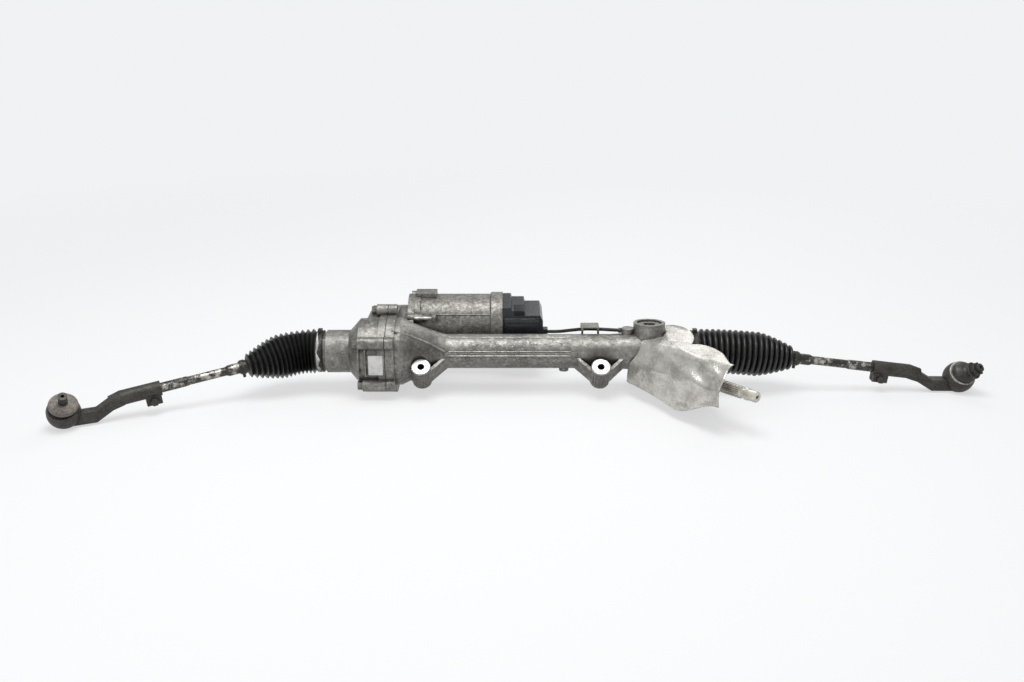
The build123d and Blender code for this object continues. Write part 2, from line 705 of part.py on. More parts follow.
# ---- ball nut, its bearing and the big pulley -------------------------------------
ball_nut = turned(
    (
        (NUT_X, RACK_R + FIT),
        (NUT_X + NUT_L, RACK_R + FIT),
        (NUT_X + NUT_L, NUT_R),
        (NUT_X, NUT_R),
    ),
    SIDE,
    RACK_AXIS,
)
ball_nut.label = "ball_nut"
nut_pulley = turned(
    (
        (BELT_X - 1, NUT_R + SEAT_GAP),
        (BELT_X + BELT_W + 1, NUT_R + SEAT_GAP),
        (BELT_X + BELT_W + 1, BIG_PULLEY_R - BELT_GAP),
        (BELT_X - 1, BIG_PULLEY_R - BELT_GAP),
    ),
    SIDE,
    RACK_AXIS,
)
nut_pulley.label = "nut_pulley"
nut_bearing_inner = turned(
    (
        (BEARING_X, NUT_R + SEAT_GAP),
        (BEARING_X + BEARING_W - 1, NUT_R + SEAT_GAP),
        (BEARING_X + BEARING_W - 1, BEARING_IN_R),
        (BEARING_X, BEARING_IN_R),
    ),
    SIDE,
    RACK_AXIS,
)
nut_bearing_inner.label = "nut_bearing_inner"
nut_bearing_outer = turned(
    (
        (BEARING_X, BEARING_OUT_R),
        (BEARING_X + BEARING_W - SEAT_GAP, BEARING_OUT_R),
        (BEARING_X + BEARING_W - SEAT_GAP, BEARING_OD_R),
        (BEARING_X, BEARING_OD_R),
    ),
    SIDE,
    RACK_AXIS,
)
nut_bearing_outer.label = "nut_bearing_outer"
with BuildPart() as bearing_rollers:
    with BuildSketch(across(BEARING_X + 2)):
        with PolarLocations((BEARING_IN_R + BEARING_OUT_R) / 2, 12):
            Circle(ROLLER_R)
    extrude(amount=BEARING_W - 5)
bearing_rollers.part.label = "bearing_rollers"
bearing_lock_ring = turned(
    (
        (PARTING + 0.2, BEARING_OUT_R + 1),
        (BEARING_X - SEAT_GAP, BEARING_OUT_R + 1),
        (BEARING_X - SEAT_GAP, BEARING_OD_R - SEAT_GAP),
        (PARTING + 0.2, BEARING_OD_R - SEAT_GAP),
    ),
    SIDE,
    RACK_AXIS,
)
bearing_lock_ring.label = "bearing_lock_ring"

# ---- belt -------------------------------------------------------------------------
with BuildPart() as drive_belt:
    with BuildSketch(across(BELT_X)):
        Circle(BIG_PULLEY_R + BELT_T)
        with Locations(MOTOR_AT):
            Circle(SMALL_PULLEY_R + BELT_T)
        make_hull()
    extrude(amount=BELT_W)
    with BuildSketch(across(BELT_X)):
        Circle(BIG_PULLEY_R)
        with Locations(MOTOR_AT):
            Circle(SMALL_PULLEY_R)
        make_hull()
    extrude(amount=BELT_W, mode=Mode.SUBTRACT)
drive_belt.part.label = "drive_belt"

# ---- motor ------------------------------------------------------------------------
MOTOR_END = MOTOR_X + MOTOR_L
BEARING_R = 15.0
with BuildPart() as motor_housing:
    with BuildSketch(MOTOR_SIDE):
        with BuildLine():
            Polyline(
                (MOTOR_X + SEAT_GAP, MOTOR_SHAFT_R + 3),
                (MOTOR_X + SEAT_GAP, MOTOR_R),
                (MOTOR_X + 8, MOTOR_R),
                (MOTOR_X + 10, MOTOR_R - 1.2),
                (MOTOR_END - 3, MOTOR_R - 1.2),
                (MOTOR_END - 1, MOTOR_R + 1.6),
                (MOTOR_END + MOTOR_CAP_L, MOTOR_R + 1.6),
                (MOTOR_END + MOTOR_CAP_L, BEARING_R + SEAT_GAP),
                (MOTOR_END - 2, BEARING_R + SEAT_GAP),
                (MOTOR_END - 2, MOTOR_R - MOTOR_WALL - 1),
                (MOTOR_X + 16, MOTOR_R - MOTOR_WALL - 1),
                (MOTOR_X + 16, BEARING_R + SEAT_GAP),
                (MOTOR_X + 4, BEARING_R + SEAT_GAP),
                (MOTOR_X + 4, MOTOR_SHAFT_R + 3),
                close=True,
            )
        make_face()
    revolve(axis=MOTOR_AXIS)
    # screw lugs at the housing end
    with BuildSketch(across(MOTOR_X + SEAT_GAP)):
        with Locations(MOTOR_AT):
            with PolarLocations(MOTOR_SCREWS, 3, start_angle=MOTOR_SCREW_TURN):
                Circle(MOTOR_LUG_R)
            Circle(MOTOR_R - 3, mode=Mode.SUBTRACT)
    extrude(amount=12.0)
    with BuildSketch(across(MOTOR_X)):
        with Locations(MOTOR_AT):
            with PolarLocations(MOTOR_SCREWS, 3, start_angle=MOTOR_SCREW_TURN):
                Circle(MOTOR_SCREW_R + SEAT_GAP)
    extrude(amount=14.0, mode=Mode.SUBTRACT)
    # earth pad on top
    with BuildSketch(across(MOTOR_X + 1)):
        with Locations((MOTOR_BACK, MOTOR_UP + MOTOR_R + 1)):
            Rectangle(24.0, 7.0)
    extrude(amount=31.0)
motor_housing.part.label = "motor_housing"

with BuildPart() as motor_screws:
    with BuildSketch(across(MOTOR_X + 12 + SEAT_GAP * 2)):
        with Locations(MOTOR_AT):
            with PolarLocations(MOTOR_SCREWS, 3, start_angle=MOTOR_SCREW_TURN):
                Circle(5.0)
    extrude(amount=7.0)
    with BuildSketch(across(MOTOR_X - 7)):
        with Locations(MOTOR_AT):
            with PolarLocations(MOTOR_SCREWS, 3, start_angle=MOTOR_SCREW_TURN):
                Circle(MOTOR_SCREW_R)
    extrude(amount=20.0)
motor_screws.part.label = "motor_screws"

motor_stator = turned(
    (
        (MOTOR_X + 24, STATOR_R),
        (MOTOR_END - 10, STATOR_R),
        (MOTOR_END - 10, MOTOR_R - MOTOR_WALL - 1 - SEAT_GAP),
        (MOTOR_X + 24, MOTOR_R - MOTOR_WALL - 1 - SEAT_GAP),
    ),
    MOTOR_SIDE,
    MOTOR_AXIS,
)
motor_stator.label = "motor_stator"

with BuildPart() as motor_bearings:
    for bearing_x in (MOTOR_X + 4 + SEAT_GAP, MOTOR_END + 2):
        with BuildSketch(across(bearing_x)):
            with Locations(MOTOR_AT):
                Circle(BEARING_R)
                Circle(MOTOR_SHAFT_R + FIT, mode=Mode.SUBTRACT)
        extrude(amount=9.0)
motor_bearings.part.label = "motor_bearings"

motor_rotor = turned(
    (
        (BELT_X - 3, 0),
        (BELT_X - 3, MOTOR_SHAFT_R),
        (MOTOR_X + 26, MOTOR_SHAFT_R),
        (MOTOR_X + 26, ROTOR_R),
        (MOTOR_END - 12, ROTOR_R),
        (MOTOR_END - 12, MOTOR_SHAFT_R),
        (MOTOR_END + 12, MOTOR_SHAFT_R),
        (MOTOR_END + 12, 0),
    ),
    MOTOR_SIDE,
    MOTOR_AXIS,
)
motor_rotor.label = "motor_rotor"

motor_pulley = turned(
    (
        (BELT_X - 1, MOTOR_SHAFT_R + SEAT_GAP),
        (BELT_X + BELT_W + 1, MOTOR_SHAFT_R + SEAT_GAP),
        (BELT_X + BELT_W + 1, SMALL_PULLEY_R - BELT_GAP),
        (BELT_X - 1, SMALL_PULLEY_R - BELT_GAP),
    ),
    MOTOR_SIDE,
    MOTOR_AXIS,
)
motor_pulley.label = "motor_pulley"

# ---- control unit -----------------------------------------------------------------
ECU_X = MOTOR_END + MOTOR_CAP_L + SEAT_GAP
ECU_END = ECU_X + ECU_L
ECU_SIDE = MOTOR_SIDE
SOCKET_W = 26.0
SOCKET_H = 16.0
BOARD_AT = 16.0
BOARD_T = 1.6
BOARD_LOW = ECU_FOOT + 5.0
BOARD_HIGH = ECU_TOP - 11.0
BOARD_MIDDLE = MOTOR_UP + (BOARD_LOW + BOARD_HIGH) / 2
with BuildPart() as ecu_housing:
    with BuildSketch(ECU_SIDE):
        with BuildLine():
            Polyline(
                (ECU_X, ECU_FOOT),
                (ECU_X, ECU_TOP + 1),
                (ECU_X + 12, ECU_TOP + 1),
                (ECU_X + 14, ECU_TOP - 4),
                (ECU_X + 32, ECU_TOP - 4),
                (ECU_X + 34, ECU_TOP - 4 - ECU_STEP),
                (ECU_END - 4, ECU_TOP - 4 - ECU_STEP),
                (ECU_END, ECU_TOP - 13 - ECU_STEP),
                (ECU_END, ECU_FOOT + 6),
                (ECU_END - 6, ECU_FOOT),
                close=True,
            )
        make_face()
    extrude(amount=ECU_HALF, both=True)
    with BuildSketch(ECU_SIDE):
        with BuildLine():
            Polyline(
                (ECU_X - 1, ECU_FOOT + ECU_WALL),
                (ECU_X - 1, ECU_TOP + 1 - ECU_WALL),
                (ECU_X + 11, ECU_TOP + 1 - ECU_WALL),
                (ECU_X + 13, ECU_TOP - 4 - ECU_WALL),
                (ECU_X + 31, ECU_TOP - 4 - ECU_WALL),
                (ECU_X + 33, ECU_TOP - 4 - ECU_STEP - ECU_WALL),
                (ECU_END - 14, ECU_TOP - 4 - ECU_STEP - ECU_WALL),
                (ECU_END - 14, ECU_FOOT + ECU_WALL),
                close=True,
            )
        make_face()
    extrude(amount=ECU_HALF - ECU_WALL, both=True, mode=Mode.SUBTRACT)
    # power and signal sockets in the end face
    with BuildSketch(across(ECU_END)):
        with Locations((MOTOR_BACK + 14, MOTOR_UP - 4)):
            Rectangle(SOCKET_W, SOCKET_H + 6)
        with Locations((MOTOR_BACK - 16, MOTOR_UP + 2)):
            Rectangle(SOCKET_W - 4, SOCKET_H - 4)
    extrude(amount=-11.0, mode=Mode.SUBTRACT)
    # ribs that the board is screwed to
    with BuildSketch(across(ECU_X + BOARD_AT + BOARD_T + SEAT_GAP)):
        for side in (-1, 1):
            with Locations((MOTOR_BACK + side * (ECU_HALF - ECU_WALL - 1.5), BOARD_MIDDLE)):
                Rectangle(4.0, BOARD_HIGH - BOARD_LOW - 12)
    extrude(amount=ECU_L - 13 - BOARD_AT - BOARD_T)
ecu_housing.part.label = "ecu_housing"

with BuildPart() as ecu_board:
    with BuildSketch(across(ECU_X + BOARD_AT)):
        with Locations((MOTOR_BACK, BOARD_MIDDLE)):
            Rectangle(2 * ECU_HALF - 8, BOARD_HIGH - BOARD_LOW)
    extrude(amount=BOARD_T)
    with BuildSketch(across(ECU_X + BOARD_AT + BOARD_T - 0.1)):
        with Locations((MOTOR_BACK - 18, MOTOR_UP + 8), (MOTOR_BACK + 16, MOTOR_UP - 12)):
            Rectangle(16.0, 16.0)
    extrude(amount=9.0)
ecu_board.part.label = "ecu_board"

# ---- sensor cable with its plugs and clip -----------------------------------------
CABLE_R = 2.5
CABLE_BACK = 45.0
CABLE_UP = 15.0
PLUG_BLOCK_L = 7.0
PLUG_END = ECU_END + PLUG_BLOCK_L
cable_points = (
    (PLUG_END, CABLE_BACK, CABLE_UP),
    (PLUG_END + 17, CABLE_BACK, CABLE_UP),
    (PLUG_END + 34, 36.0, 20.0),
    (PLUG_END + 52, 24.0, 26.0),
    (PLUG_END + 70, 16.0, 28.6),
    (PINION_X - 31.0 - LUG_R - 4.0, 6.0, 30.0),
)


def rounded_route(points):
    """Radii for the corners of a route: 0.45 of the shorter run over the tangent of half the turn."""
    radii = []
    for before, here, after in zip(points, points[1:], points[2:]):
        one = [here[i] - before[i] for i in range(3)]
        two = [after[i] - here[i] for i in range(3)]
        length_one = math.dist(before, here)
        length_two = math.dist(here, after)
        cosine = sum(a * b for a, b in zip(one, two)) / (length_one * length_two)
        turn = math.acos(max(-1.0, min(1.0, cosine)))
        radii.append(0.45 * min(length_one, length_two) / math.tan(turn / 2))
    return radii


route = tuple((x, RACK_Y + y, RACK_Z + z) for x, y, z in cable_points)
cable_radii = rounded_route(route)
print("cable radii", [round(r, 1) for r in cable_radii], "least allowed", 10 * CABLE_R)
with BuildPart() as sensor_cable:
    with BuildLine() as cable_line:
        FilletPolyline(*route, radius=cable_radii)
    with BuildSketch(Plane(route[0], z_dir=(1, 0, 0))):
        Circle(CABLE_R)
    sweep(path=cable_line.wires()[0])
sensor_cable.part.label = "sensor_cable"
print("cable volume", round(sensor_cable.part.volume), "of", round(cable_line.wires()[0].length * math.pi * CABLE_R**2))

with BuildPart() as cable_plugs:
    with BuildSketch(across(ECU_END + SEAT_GAP)):
        with Locations((CABLE_BACK, CABLE_UP)):
            RectangleRounded(12.0, 13.0, 2.5)
    extrude(amount=PLUG_BLOCK_L - 2 * SEAT_GAP)
cable_plugs.part.label = "cable_plug"
end_run = unit([route[-1][i] - route[-2][i] for i in range(3)])
with BuildPart() as cable_gland:
    with BuildSketch(Plane(route[-1], z_dir=end_run).offset(SEAT_GAP)):
        Circle(CABLE_R + 1.2)
    extrude(amount=3.9)
cable_gland.part.label = "cable_gland"

CLIP_X = 244.0
CLIP_HALF = 13.0
CLIP_BACK = 8.0
CLIP_LEG_T = 2.0
CLIP_TOP = 33.8
clip_foot = math.sqrt(TUBE_R**2 - (CLIP_BACK - CLIP_LEG_T / 2) ** 2) + SEAT_GAP
with BuildPart() as cable_clip:
    for leg_x in (CLIP_X - CLIP_HALF, CLIP_X + CLIP_HALF - 3.0):
        with BuildSketch(across(leg_x)):
            with Locations((CLIP_BACK, (clip_foot + CLIP_TOP) / 2)):
                Rectangle(CLIP_LEG_T, CLIP_TOP - clip_foot)
        extrude(amount=3.0)
    with BuildSketch(across(CLIP_X - CLIP_HALF)):
        with Locations((18.0, 33.2)):
            Rectangle(22.0, 1.6)
        with Locations((28.2, 30.4)):
            Rectangle(1.6, 6.0)
    extrude(amount=2 * CLIP_HALF)
cable_clip.part.label = "cable_clip"

# ---- pinion -----------------------------------------------------------------------
base_r = PITCH_R * math.cos(math.radians(PRESSURE))
root_r = PITCH_R + SHIFT * MODULE - 1.25 * MODULE
inv_p = tan_p - math.radians(PRESSURE)
half_pitch = (MODULE * (math.pi / 2 + 2 * SHIFT * tan_p) - BACKLASH) / (2 * PITCH_R)
flank = []
for i in range(4):
    r = base_r + 0.05 + (PINION_TIP_R - base_r - 0.05) * i / 3
    pressure_at = math.acos(base_r / r)
    flank.append((r, half_pitch + inv_p - (math.tan(pressure_at) - pressure_at)))
outline = []
for tooth in range(PINION_TEETH):
    middle = 2 * math.pi * tooth / PINION_TEETH
    outline.append((root_r, middle - flank[0][1] - 0.04))
    outline += [(r, middle - a) for r, a in flank]
    outline += [(r, middle + a) for r, a in reversed(flank)]
    outline.append((root_r, middle + flank[0][1] + 0.04))
with BuildPart() as pinion_shaft:
    with BuildSketch(PINION_FACE.offset(-TOOTH_FACE)):
        with BuildLine():
            Polyline(*[(r * math.cos(a), r * math.sin(a)) for r, a in outline], close=True)
        make_face()
    extrude(amount=2 * TOOTH_FACE)
    with BuildSketch(PINION_FACE.offset(-33.0)):
        Circle(REAR_JOURNAL_R)
    extrude(amount=20.0)
    with BuildSketch(PINION_FACE.offset(TOOTH_FACE - 1)):
        Circle(FRONT_JOURNAL_R)
    extrude(amount=HUB_START - TOOTH_FACE + 1)
    with BuildSketch(PINION_FACE.offset(HUB_START - 1)):
        Circle(FRONT_JOURNAL_R + 6)
    extrude(amount=13.0)
    with BuildSketch(PINION_FACE.offset(10.0)):
        Circle(BORE_TORSION_R + SEAT_GAP)
    extrude(amount=HUB_START + 20.0, mode=Mode.SUBTRACT)
pinion_shaft.part.label = "pinion_shaft"

with BuildPart() as pinion_bearings:
    with BuildSketch(PINION_FACE.offset(-33.5)):
        Circle(9.0)
        Circle(REAR_JOURNAL_R + FIT, mode=Mode.SUBTRACT)
    extrude(amount=12.0)
    with BuildSketch(PINION_FACE.offset(FRONT_BEARING_AT + SEAT_GAP)):
        Circle(FRONT_BEARING_R)
        Circle(FRONT_JOURNAL_R + FIT, mode=Mode.SUBTRACT)
    extrude(amount=FRONT_BEARING_W - SEAT_GAP)
pinion_bearings.part.label = "pinion_bearings"

with BuildPart() as torsion_bar:
    with BuildSketch(PINION_FACE.offset(11.0)):
        Circle(BORE_TORSION_R)
    extrude(amount=HUB_START - 2)
    with BuildSketch(PINION_FACE.offset(HUB_START)):
        Circle(BORE_TORSION_R - 1)
    extrude(amount=INPUT_END - 26 - HUB_START)
torsion_bar.part.label = "torsion_bar"

input_shaft = turned(
    (
        (INPUT_START, BORE_TORSION_R),
        (INPUT_START, INPUT_R + 6.5),
        (INPUT_START + 20, INPUT_R + 6.5),
        (INPUT_START + 20, INPUT_R + 1),
        (SENSOR_START + SENSOR_L + 30, INPUT_R + 1),
        (SENSOR_START + SENSOR_L + 32, INPUT_R),
        (INPUT_END - 26, INPUT_R),
        (INPUT_END - 25, INPUT_R - 1.3),
        (INPUT_END - 20, INPUT_R - 1.3),
        (INPUT_END - 19, INPUT_R),
        (INPUT_END - 1, INPUT_R),
        (INPUT_END, INPUT_R - 1),
        (INPUT_END, 2.6),
        (INPUT_END - 12, 2.6),
        (INPUT_END - 14, 0),
        (INPUT_END - 24, 0),
        (INPUT_END - 24, BORE_TORSION_R),
    ),
    PINION_LONG,
    PINION_AXIS,
)
input_shaft.label = "input_shaft"

# ---- torque sensor and its housing ------------------------------------------------
SENSOR_END = SENSOR_START + SENSOR_L
sensor_housing = turned(
    (
        (SENSOR_START, SENSOR_R - 4),
        (SENSOR_START, SENSOR_FLANGE_R),
        (SENSOR_START + 7, SENSOR_FLANGE_R),
        (SENSOR_START + 7, SENSOR_R),
        (SENSOR_END, SENSOR_R),
        (SENSOR_END + 14, 18.0),
        (SENSOR_END + 26, 16.0),
        (SENSOR_END + 26, 13.0 + SEAT_GAP),
        (SENSOR_END + 4, 13.0 + SEAT_GAP),
        (SENSOR_END + 4, 11.0),
        (SENSOR_END - 4, 11.0),
        (SENSOR_END - 4, SENSOR_R - 4),
    ),
    PINION_LONG,
    PINION_AXIS,
)
sensor_housing.label = "sensor_housing"
with BuildPart() as torque_sensor:
    with BuildSketch(PINION_FACE.offset(SENSOR_START + 22)):
        Circle(SENSOR_R - 4 - SEAT_GAP)
        Circle(INPUT_R + 8, mode=Mode.SUBTRACT)
    extrude(amount=26.0)
torque_sensor.part.label = "torque_sensor"
with BuildPart() as input_seal:
    with BuildSketch(PINION_FACE.offset(SENSOR_END + 4 + SEAT_GAP)):
        Circle(13.0)
        Circle(INPUT_R + 1 + FIT, mode=Mode.SUBTRACT)
    extrude(amount=20.0)
input_seal.part.label = "input_bearing_seal"

# ---- yoke, spring and plug --------------------------------------------------------
YOKE_BASE = Plane(YOKE_LONG.origin, x_dir=(1, 0, 0), z_dir=MESH_DIR)
with BuildPart() as yoke:
    with BuildSketch(YOKE_BASE.offset(4.0)):
        Circle(YOKE_R)
    extrude(amount=YOKE_TOP - 4.0)
    with BuildSketch(across(PINION_X - 20)):
        Circle(RACK_R + FIT)
    extrude(amount=40.0, mode=Mode.SUBTRACT)
    with BuildSketch(YOKE_BASE.offset(YOKE_TOP - 10)):
        Circle(9.5)
    extrude(amount=12.0, mode=Mode.SUBTRACT)
yoke.part.label = "yoke"
with BuildPart() as yoke_spring:
    with BuildSketch(YOKE_BASE.offset(YOKE_TOP - 10 + SEAT_GAP)):
        Circle(8.5)
        Circle(5.5, mode=Mode.SUBTRACT)
    extrude(amount=YOKE_BOSS_TOP - PLUG_T - YOKE_TOP + 10 - 2 * SEAT_GAP)
yoke_spring.part.label = "yoke_spring"
with BuildPart() as yoke_plug:
    with BuildSketch(YOKE_BASE.offset(YOKE_BOSS_TOP - PLUG_T + SEAT_GAP)):
        Circle(PLUG_R)
    extrude(amount=PLUG_T - 2.5)
    with BuildSketch(YOKE_BASE.offset(YOKE_BOSS_TOP - 6.0)):
        RegularPolygon(9.5, 6)
    extrude(amount=8.0, mode=Mode.SUBTRACT)
yoke_plug.part.label = "yoke_plug"

# ---- heat shield ------------------------------------------------------------------
SHIELD_T = 0.9
SHIELD_BEND = 13.0
shield_centre = (PINION_X + 36.0, RACK_Y - 70.0, RACK_Z - 10.0)
shield_out = (-0.158, -0.925, 0.345)
with BuildPart() as heat_shield:
    with BuildSketch(PINION_FACE.offset(-30.0)):
        with BuildLine() as shield_bend:
            FilletPolyline(
                (-46.0, 37.0),
                (6.0, 40.0),
                (38.0, 22.0),
                (45.0, -14.0),
                (49.0, -40.0),
                (66.0, -54.0),
                radius=SHIELD_BEND,
            )
        trace(line_width=SHIELD_T)
    extrude(amount=210.0)
    # trimmed to the outline of the blank, seen from the front
    with BuildSketch(Plane(shield_centre, x_dir=(1, 0, 0), z_dir=shield_out)):
        with BuildLine():
            Polyline((-65.0, 32.0), (-64.0, 43.0), (-55.0, 52.5), (-23.0, 54.0), (-20.0, 72.0))
            Spline((-20.0, 72.0), (6.0, 68.0), (18.0, 58.0), (16.0, 42.0))
            Spline((16.0, 42.0), (44.0, 37.0), (58.0, 28.0))
            Polyline((58.0, 28.0), (65.0, 15.0), (81.0, 10.0))
            Spline((81.0, 10.0), (65.0, -4.0), (56.0, -24.0), (55.0, -46.0))
            Spline((55.0, -46.0), (34.0, -42.0), (5.0, -49.5), (-14.0, -44.0))
            Spline((-14.0, -44.0), (-40.0, -28.5), (-76.0, -11.0))
            Spline((-76.0, -11.0), (-74.0, 8.0), (-65.0, 32.0))
        make_face()
    extrude(amount=130.0, both=True, mode=Mode.INTERSECT)
    # it reaches round the yoke boss and over the tube
    with BuildSketch(Plane(YOKE_LONG.origin, x_dir=(1, 0, 0), z_dir=MESH_DIR)):
        Circle(YOKE_BOSS_R + 0.8)
    extrude(amount=80.0, both=True, mode=Mode.SUBTRACT)
    with BuildSketch(across(PINION_X - 60)):
        Circle(RIGHT_TUBE_R + 0.8)
    extrude(amount=END_RIGHT - PINION_X + 60, mode=Mode.SUBTRACT)
heat_shield.part.label = "heat_shield"

# ---- tie rods ---------------------------------------------------------------------
tie_parts = []
for hand, ball_x, outer, tilt, lean in (
    ("left", BALL_X_LEFT, LEFT_OUTER, LEFT_CASE_TILT, LEFT_STUD_LEAN),
    ("right", BALL_X_RIGHT, RIGHT_OUTER, RIGHT_CASE_TILT, RIGHT_STUD_LEAN),
):
    along = unit(outer)
    level = unit((-along[1], along[0], 0))
    start = (ball_x, RACK_Y, RACK_Z)
    face = Plane(origin=start, x_dir=level, z_dir=along)
    end = tuple(start[i] + along[i] * ROD_LENGTH for i in range(3))
    # half section along the rod: its own x is the distance from the inner ball
    long_plane = Plane(origin=start, x_dir=along, z_dir=level)
    rod_axis = Axis(start, along)
    # inner rod with its ball
    neck_a = math.sqrt(INNER_BALL_R**2 - ROD_NECK_R**2)
    with BuildPart() as inner_rod:
        with BuildSketch(long_plane):
            with BuildLine():
                ThreePointArc((-INNER_BALL_R, 0), (0, INNER_BALL_R), (neck_a, ROD_NECK_R))
                Polyline(
                    (neck_a, ROD_NECK_R),
                    (40.0, ROD_NECK_R),
                    (48.0, BOOT_LAND_R),
                    (ROD_LAND_END, BOOT_LAND_R),
                    (ROD_LAND_END + 4.0, ROD_R),
                    (SLEEVE_START - 38.0, ROD_R),
                    (SLEEVE_START - 36.0, ROD_THREAD_R),
                    (SLEEVE_START + 34.0, ROD_THREAD_R),
                    (SLEEVE_START + 36.0, ROD_THREAD_R - 1),
                    (SLEEVE_START + 36.0, 0),
                    (-INNER_BALL_R, 0),
                )
            make_face()
        revolve(axis=rod_axis)
    inner_rod.part.label = f"inner_rod_{hand}"
    # forged end: sleeve, dropped arm and ball case
    stand = Plane(origin=end, x_dir=unit((along[0], along[1], 0)), z_dir=(0, 0, 1))
    upright = Plane(origin=end, x_dir=unit((along[0], along[1], 0)), z_dir=tuple(-c for c in stand.y_dir))
    tilt_r = math.radians(tilt)
    tipped = Vector(0, -math.sin(tilt_r), math.cos(tilt_r))
    rod_way = Vector(*along)
    case_way = (tipped - rod_way * tipped.dot(rod_way)).normalized()
    swing = case_way.cross(rod_way)
    case_long = Plane(origin=end, x_dir=along, z_dir=rod_way.cross(case_way))
    case_axis = Axis(end, case_way)
    with BuildPart() as tie_end:
        with BuildSketch(face.offset(SLEEVE_START)):
            Circle(TIE_SLEEVE_R)
        extrude(amount=TIE_SLEEVE_L)
        with BuildSketch(face.offset(SLEEVE_START + TIE_SLEEVE_L)):
            Circle(TIE_SLEEVE_R)
        with BuildSketch(face.offset(SLEEVE_START + TIE_SLEEVE_L + TIE_TAPER_L)):
            Circle(ARM_R - 2)
        loft()
        arm_start = -ROD_LENGTH + SLEEVE_START + TIE_SLEEVE_L - 6
        with BuildSketch(upright):
            with BuildLine():
                FilletPolyline(
                    (arm_start, 16.5),
                    (-57.0, 8.0),
                    (-41.0, -ARM_DROP + 9.0),
                    (-6.0, -ARM_DROP + 9.0),
                    (-6.0, -ARM_DROP - 7.7),
                    (-40.0, -ARM_DROP - 7.7),
                    (-62.0, -5.0),
                    (arm_start, 1.0),
                    radius=4.0,
                    close=True,
                )
            make_face()
        extrude(amount=ARM_R, both=True)
        foot_a = math.radians(45.0)
        with BuildSketch(case_long):
            with BuildLine():
                ThreePointArc(
                    (END_PLATE_R, -END_CASE_FOOT),
                    (END_CASE_R * math.sin(foot_a), -END_CASE_R * math.cos(foot_a)),
                    (END_CASE_R, 0),
                )
                Polyline(
                    (END_CASE_R, 0),
                    (21.8, 6.0),
                    (19.3, END_CASE_TOP),
                    (0, END_CASE_TOP),
                    (0, -END_CASE_FOOT),
                    (END_PLATE_R, -END_CASE_FOOT),
                )
            make_face()
        revolve(axis=case_axis)
        # clamp lug under the sleeve
        with BuildSketch(face.offset(SLEEVE_START + 2)):
            with Locations((0, -TIE_SLEEVE_R)):
                RectangleRounded(17.0, 20.0, 3.0)
        extrude(amount=TIE_LUG_L)
        # bores
        with BuildSketch(face.offset(SLEEVE_START - 1)):
            Circle(ROD_THREAD_R + SEAT_GAP)
        extrude(amount=TIE_BORE_L, mode=Mode.SUBTRACT)
        with BuildSketch(face.offset(SLEEVE_START - 1)):
            with Locations((0, -14.0)):
                Rectangle(2.0, 24.0)
        extrude(amount=TIE_LUG_L + 9.0, mode=Mode.SUBTRACT)
        with Locations(Location(end)):
            Sphere(END_BALL_R + FIT, mode=Mode.SUBTRACT)
        with BuildSketch(case_long):
            with BuildLine():
                Polyline((0, 4.0), (12.4, 4.0), (15.0, END_CASE_TOP + 1), (0, END_CASE_TOP + 1), close=True)
            make_face()
        revolve(axis=case_axis, mode=Mode.SUBTRACT)
        bolt_y = -TIE_SLEEVE_R - 4.0
        bolt_at = tuple(
            start[i] + along[i] * (SLEEVE_START + 2 + TIE_LUG_L / 2) + tuple(face.y_dir)[i] * bolt_y for i in range(3)
        )
        with BuildSketch(Plane(origin=bolt_at, x_dir=along, z_dir=level)):
            Circle(3.0 + SEAT_GAP)
        extrude(amount=12.0, both=True, mode=Mode.SUBTRACT)
    tie_end.part.label = f"tie_rod_end_{hand}"
    with BuildPart() as clamp_bolt:
        with BuildSketch(Plane(origin=bolt_at, x_dir=along, z_dir=level)):
            Circle(3.0)
        extrude(amount=8.4, both=True)
        with BuildSketch(Plane(origin=bolt_at, x_dir=along, z_dir=level).offset(8.6)):
            RegularPolygon(5.8, 6)
        extrude(amount=4.0)
        with BuildSketch(Plane(origin=bolt_at, x_dir=along, z_dir=level).offset(-8.6)):
            RegularPolygon(5.8, 6)
        extrude(amount=-4.0)
        with BuildSketch(Plane(origin=bolt_at, x_dir=along, z_dir=level).offset(-9.0)):
            Circle(3.0)
        extrude(amount=18.0)
    clamp_bolt.part.label = f"clamp_bolt_{hand}"
    # ball stud, nut and dust boot, leaning together
    lean_r = math.radians(lean)
    stud_dir = case_way * math.cos(lean_r) + rod_way * math.sin(lean_r)
    stud_base = Plane(origin=end, x_dir=swing, z_dir=stud_dir)
    stud_long = Plane(origin=end, x_dir=stud_dir, z_dir=swing)
    stud_axis = Axis(end, stud_dir)
    with BuildPart() as ball_stud:
        with Locations(Location(end)):
            Sphere(END_BALL_R)
        with BuildSketch(stud_base.offset(9.0)):
            Circle(STUD_R)
        extrude(amount=STUD_L - 9.0)
        with BuildSketch(stud_base.offset(STUD_L - 5.0)):
            RegularPolygon(2.6, 6)
        extrude(amount=6.0, mode=Mode.SUBTRACT)
    ball_stud.part.label = f"ball_stud_{hand}"
    with BuildPart() as stud_nut:
        with BuildSketch(stud_base.offset(25.6)):
            Circle(NUT_FLANGE_R)
        extrude(amount=2.6)
        with BuildSketch(stud_base.offset(28.0)):
            RegularPolygon(NUT_HEX_R, 6)
        extrude(amount=7.0)
        with BuildSketch(stud_base.offset(25.0)):
            Circle(STUD_R + SEAT_GAP)
        extrude(amount=12.0, mode=Mode.SUBTRACT)
    stud_nut.part.label = f"stud_nut_{hand}"
    dust_boot = turned(
        (
            (22.9, STUD_R + SEAT_GAP),
            (17.0, 17.4),
            (18.0, 19.2),
            (21.6, 17.0),
            (25.5, 10.5),
            (25.5, STUD_R + SEAT_GAP),
        ),
        stud_long,
        stud_axis,
    )
    dust_boot.label = f"dust_boot_{hand}"
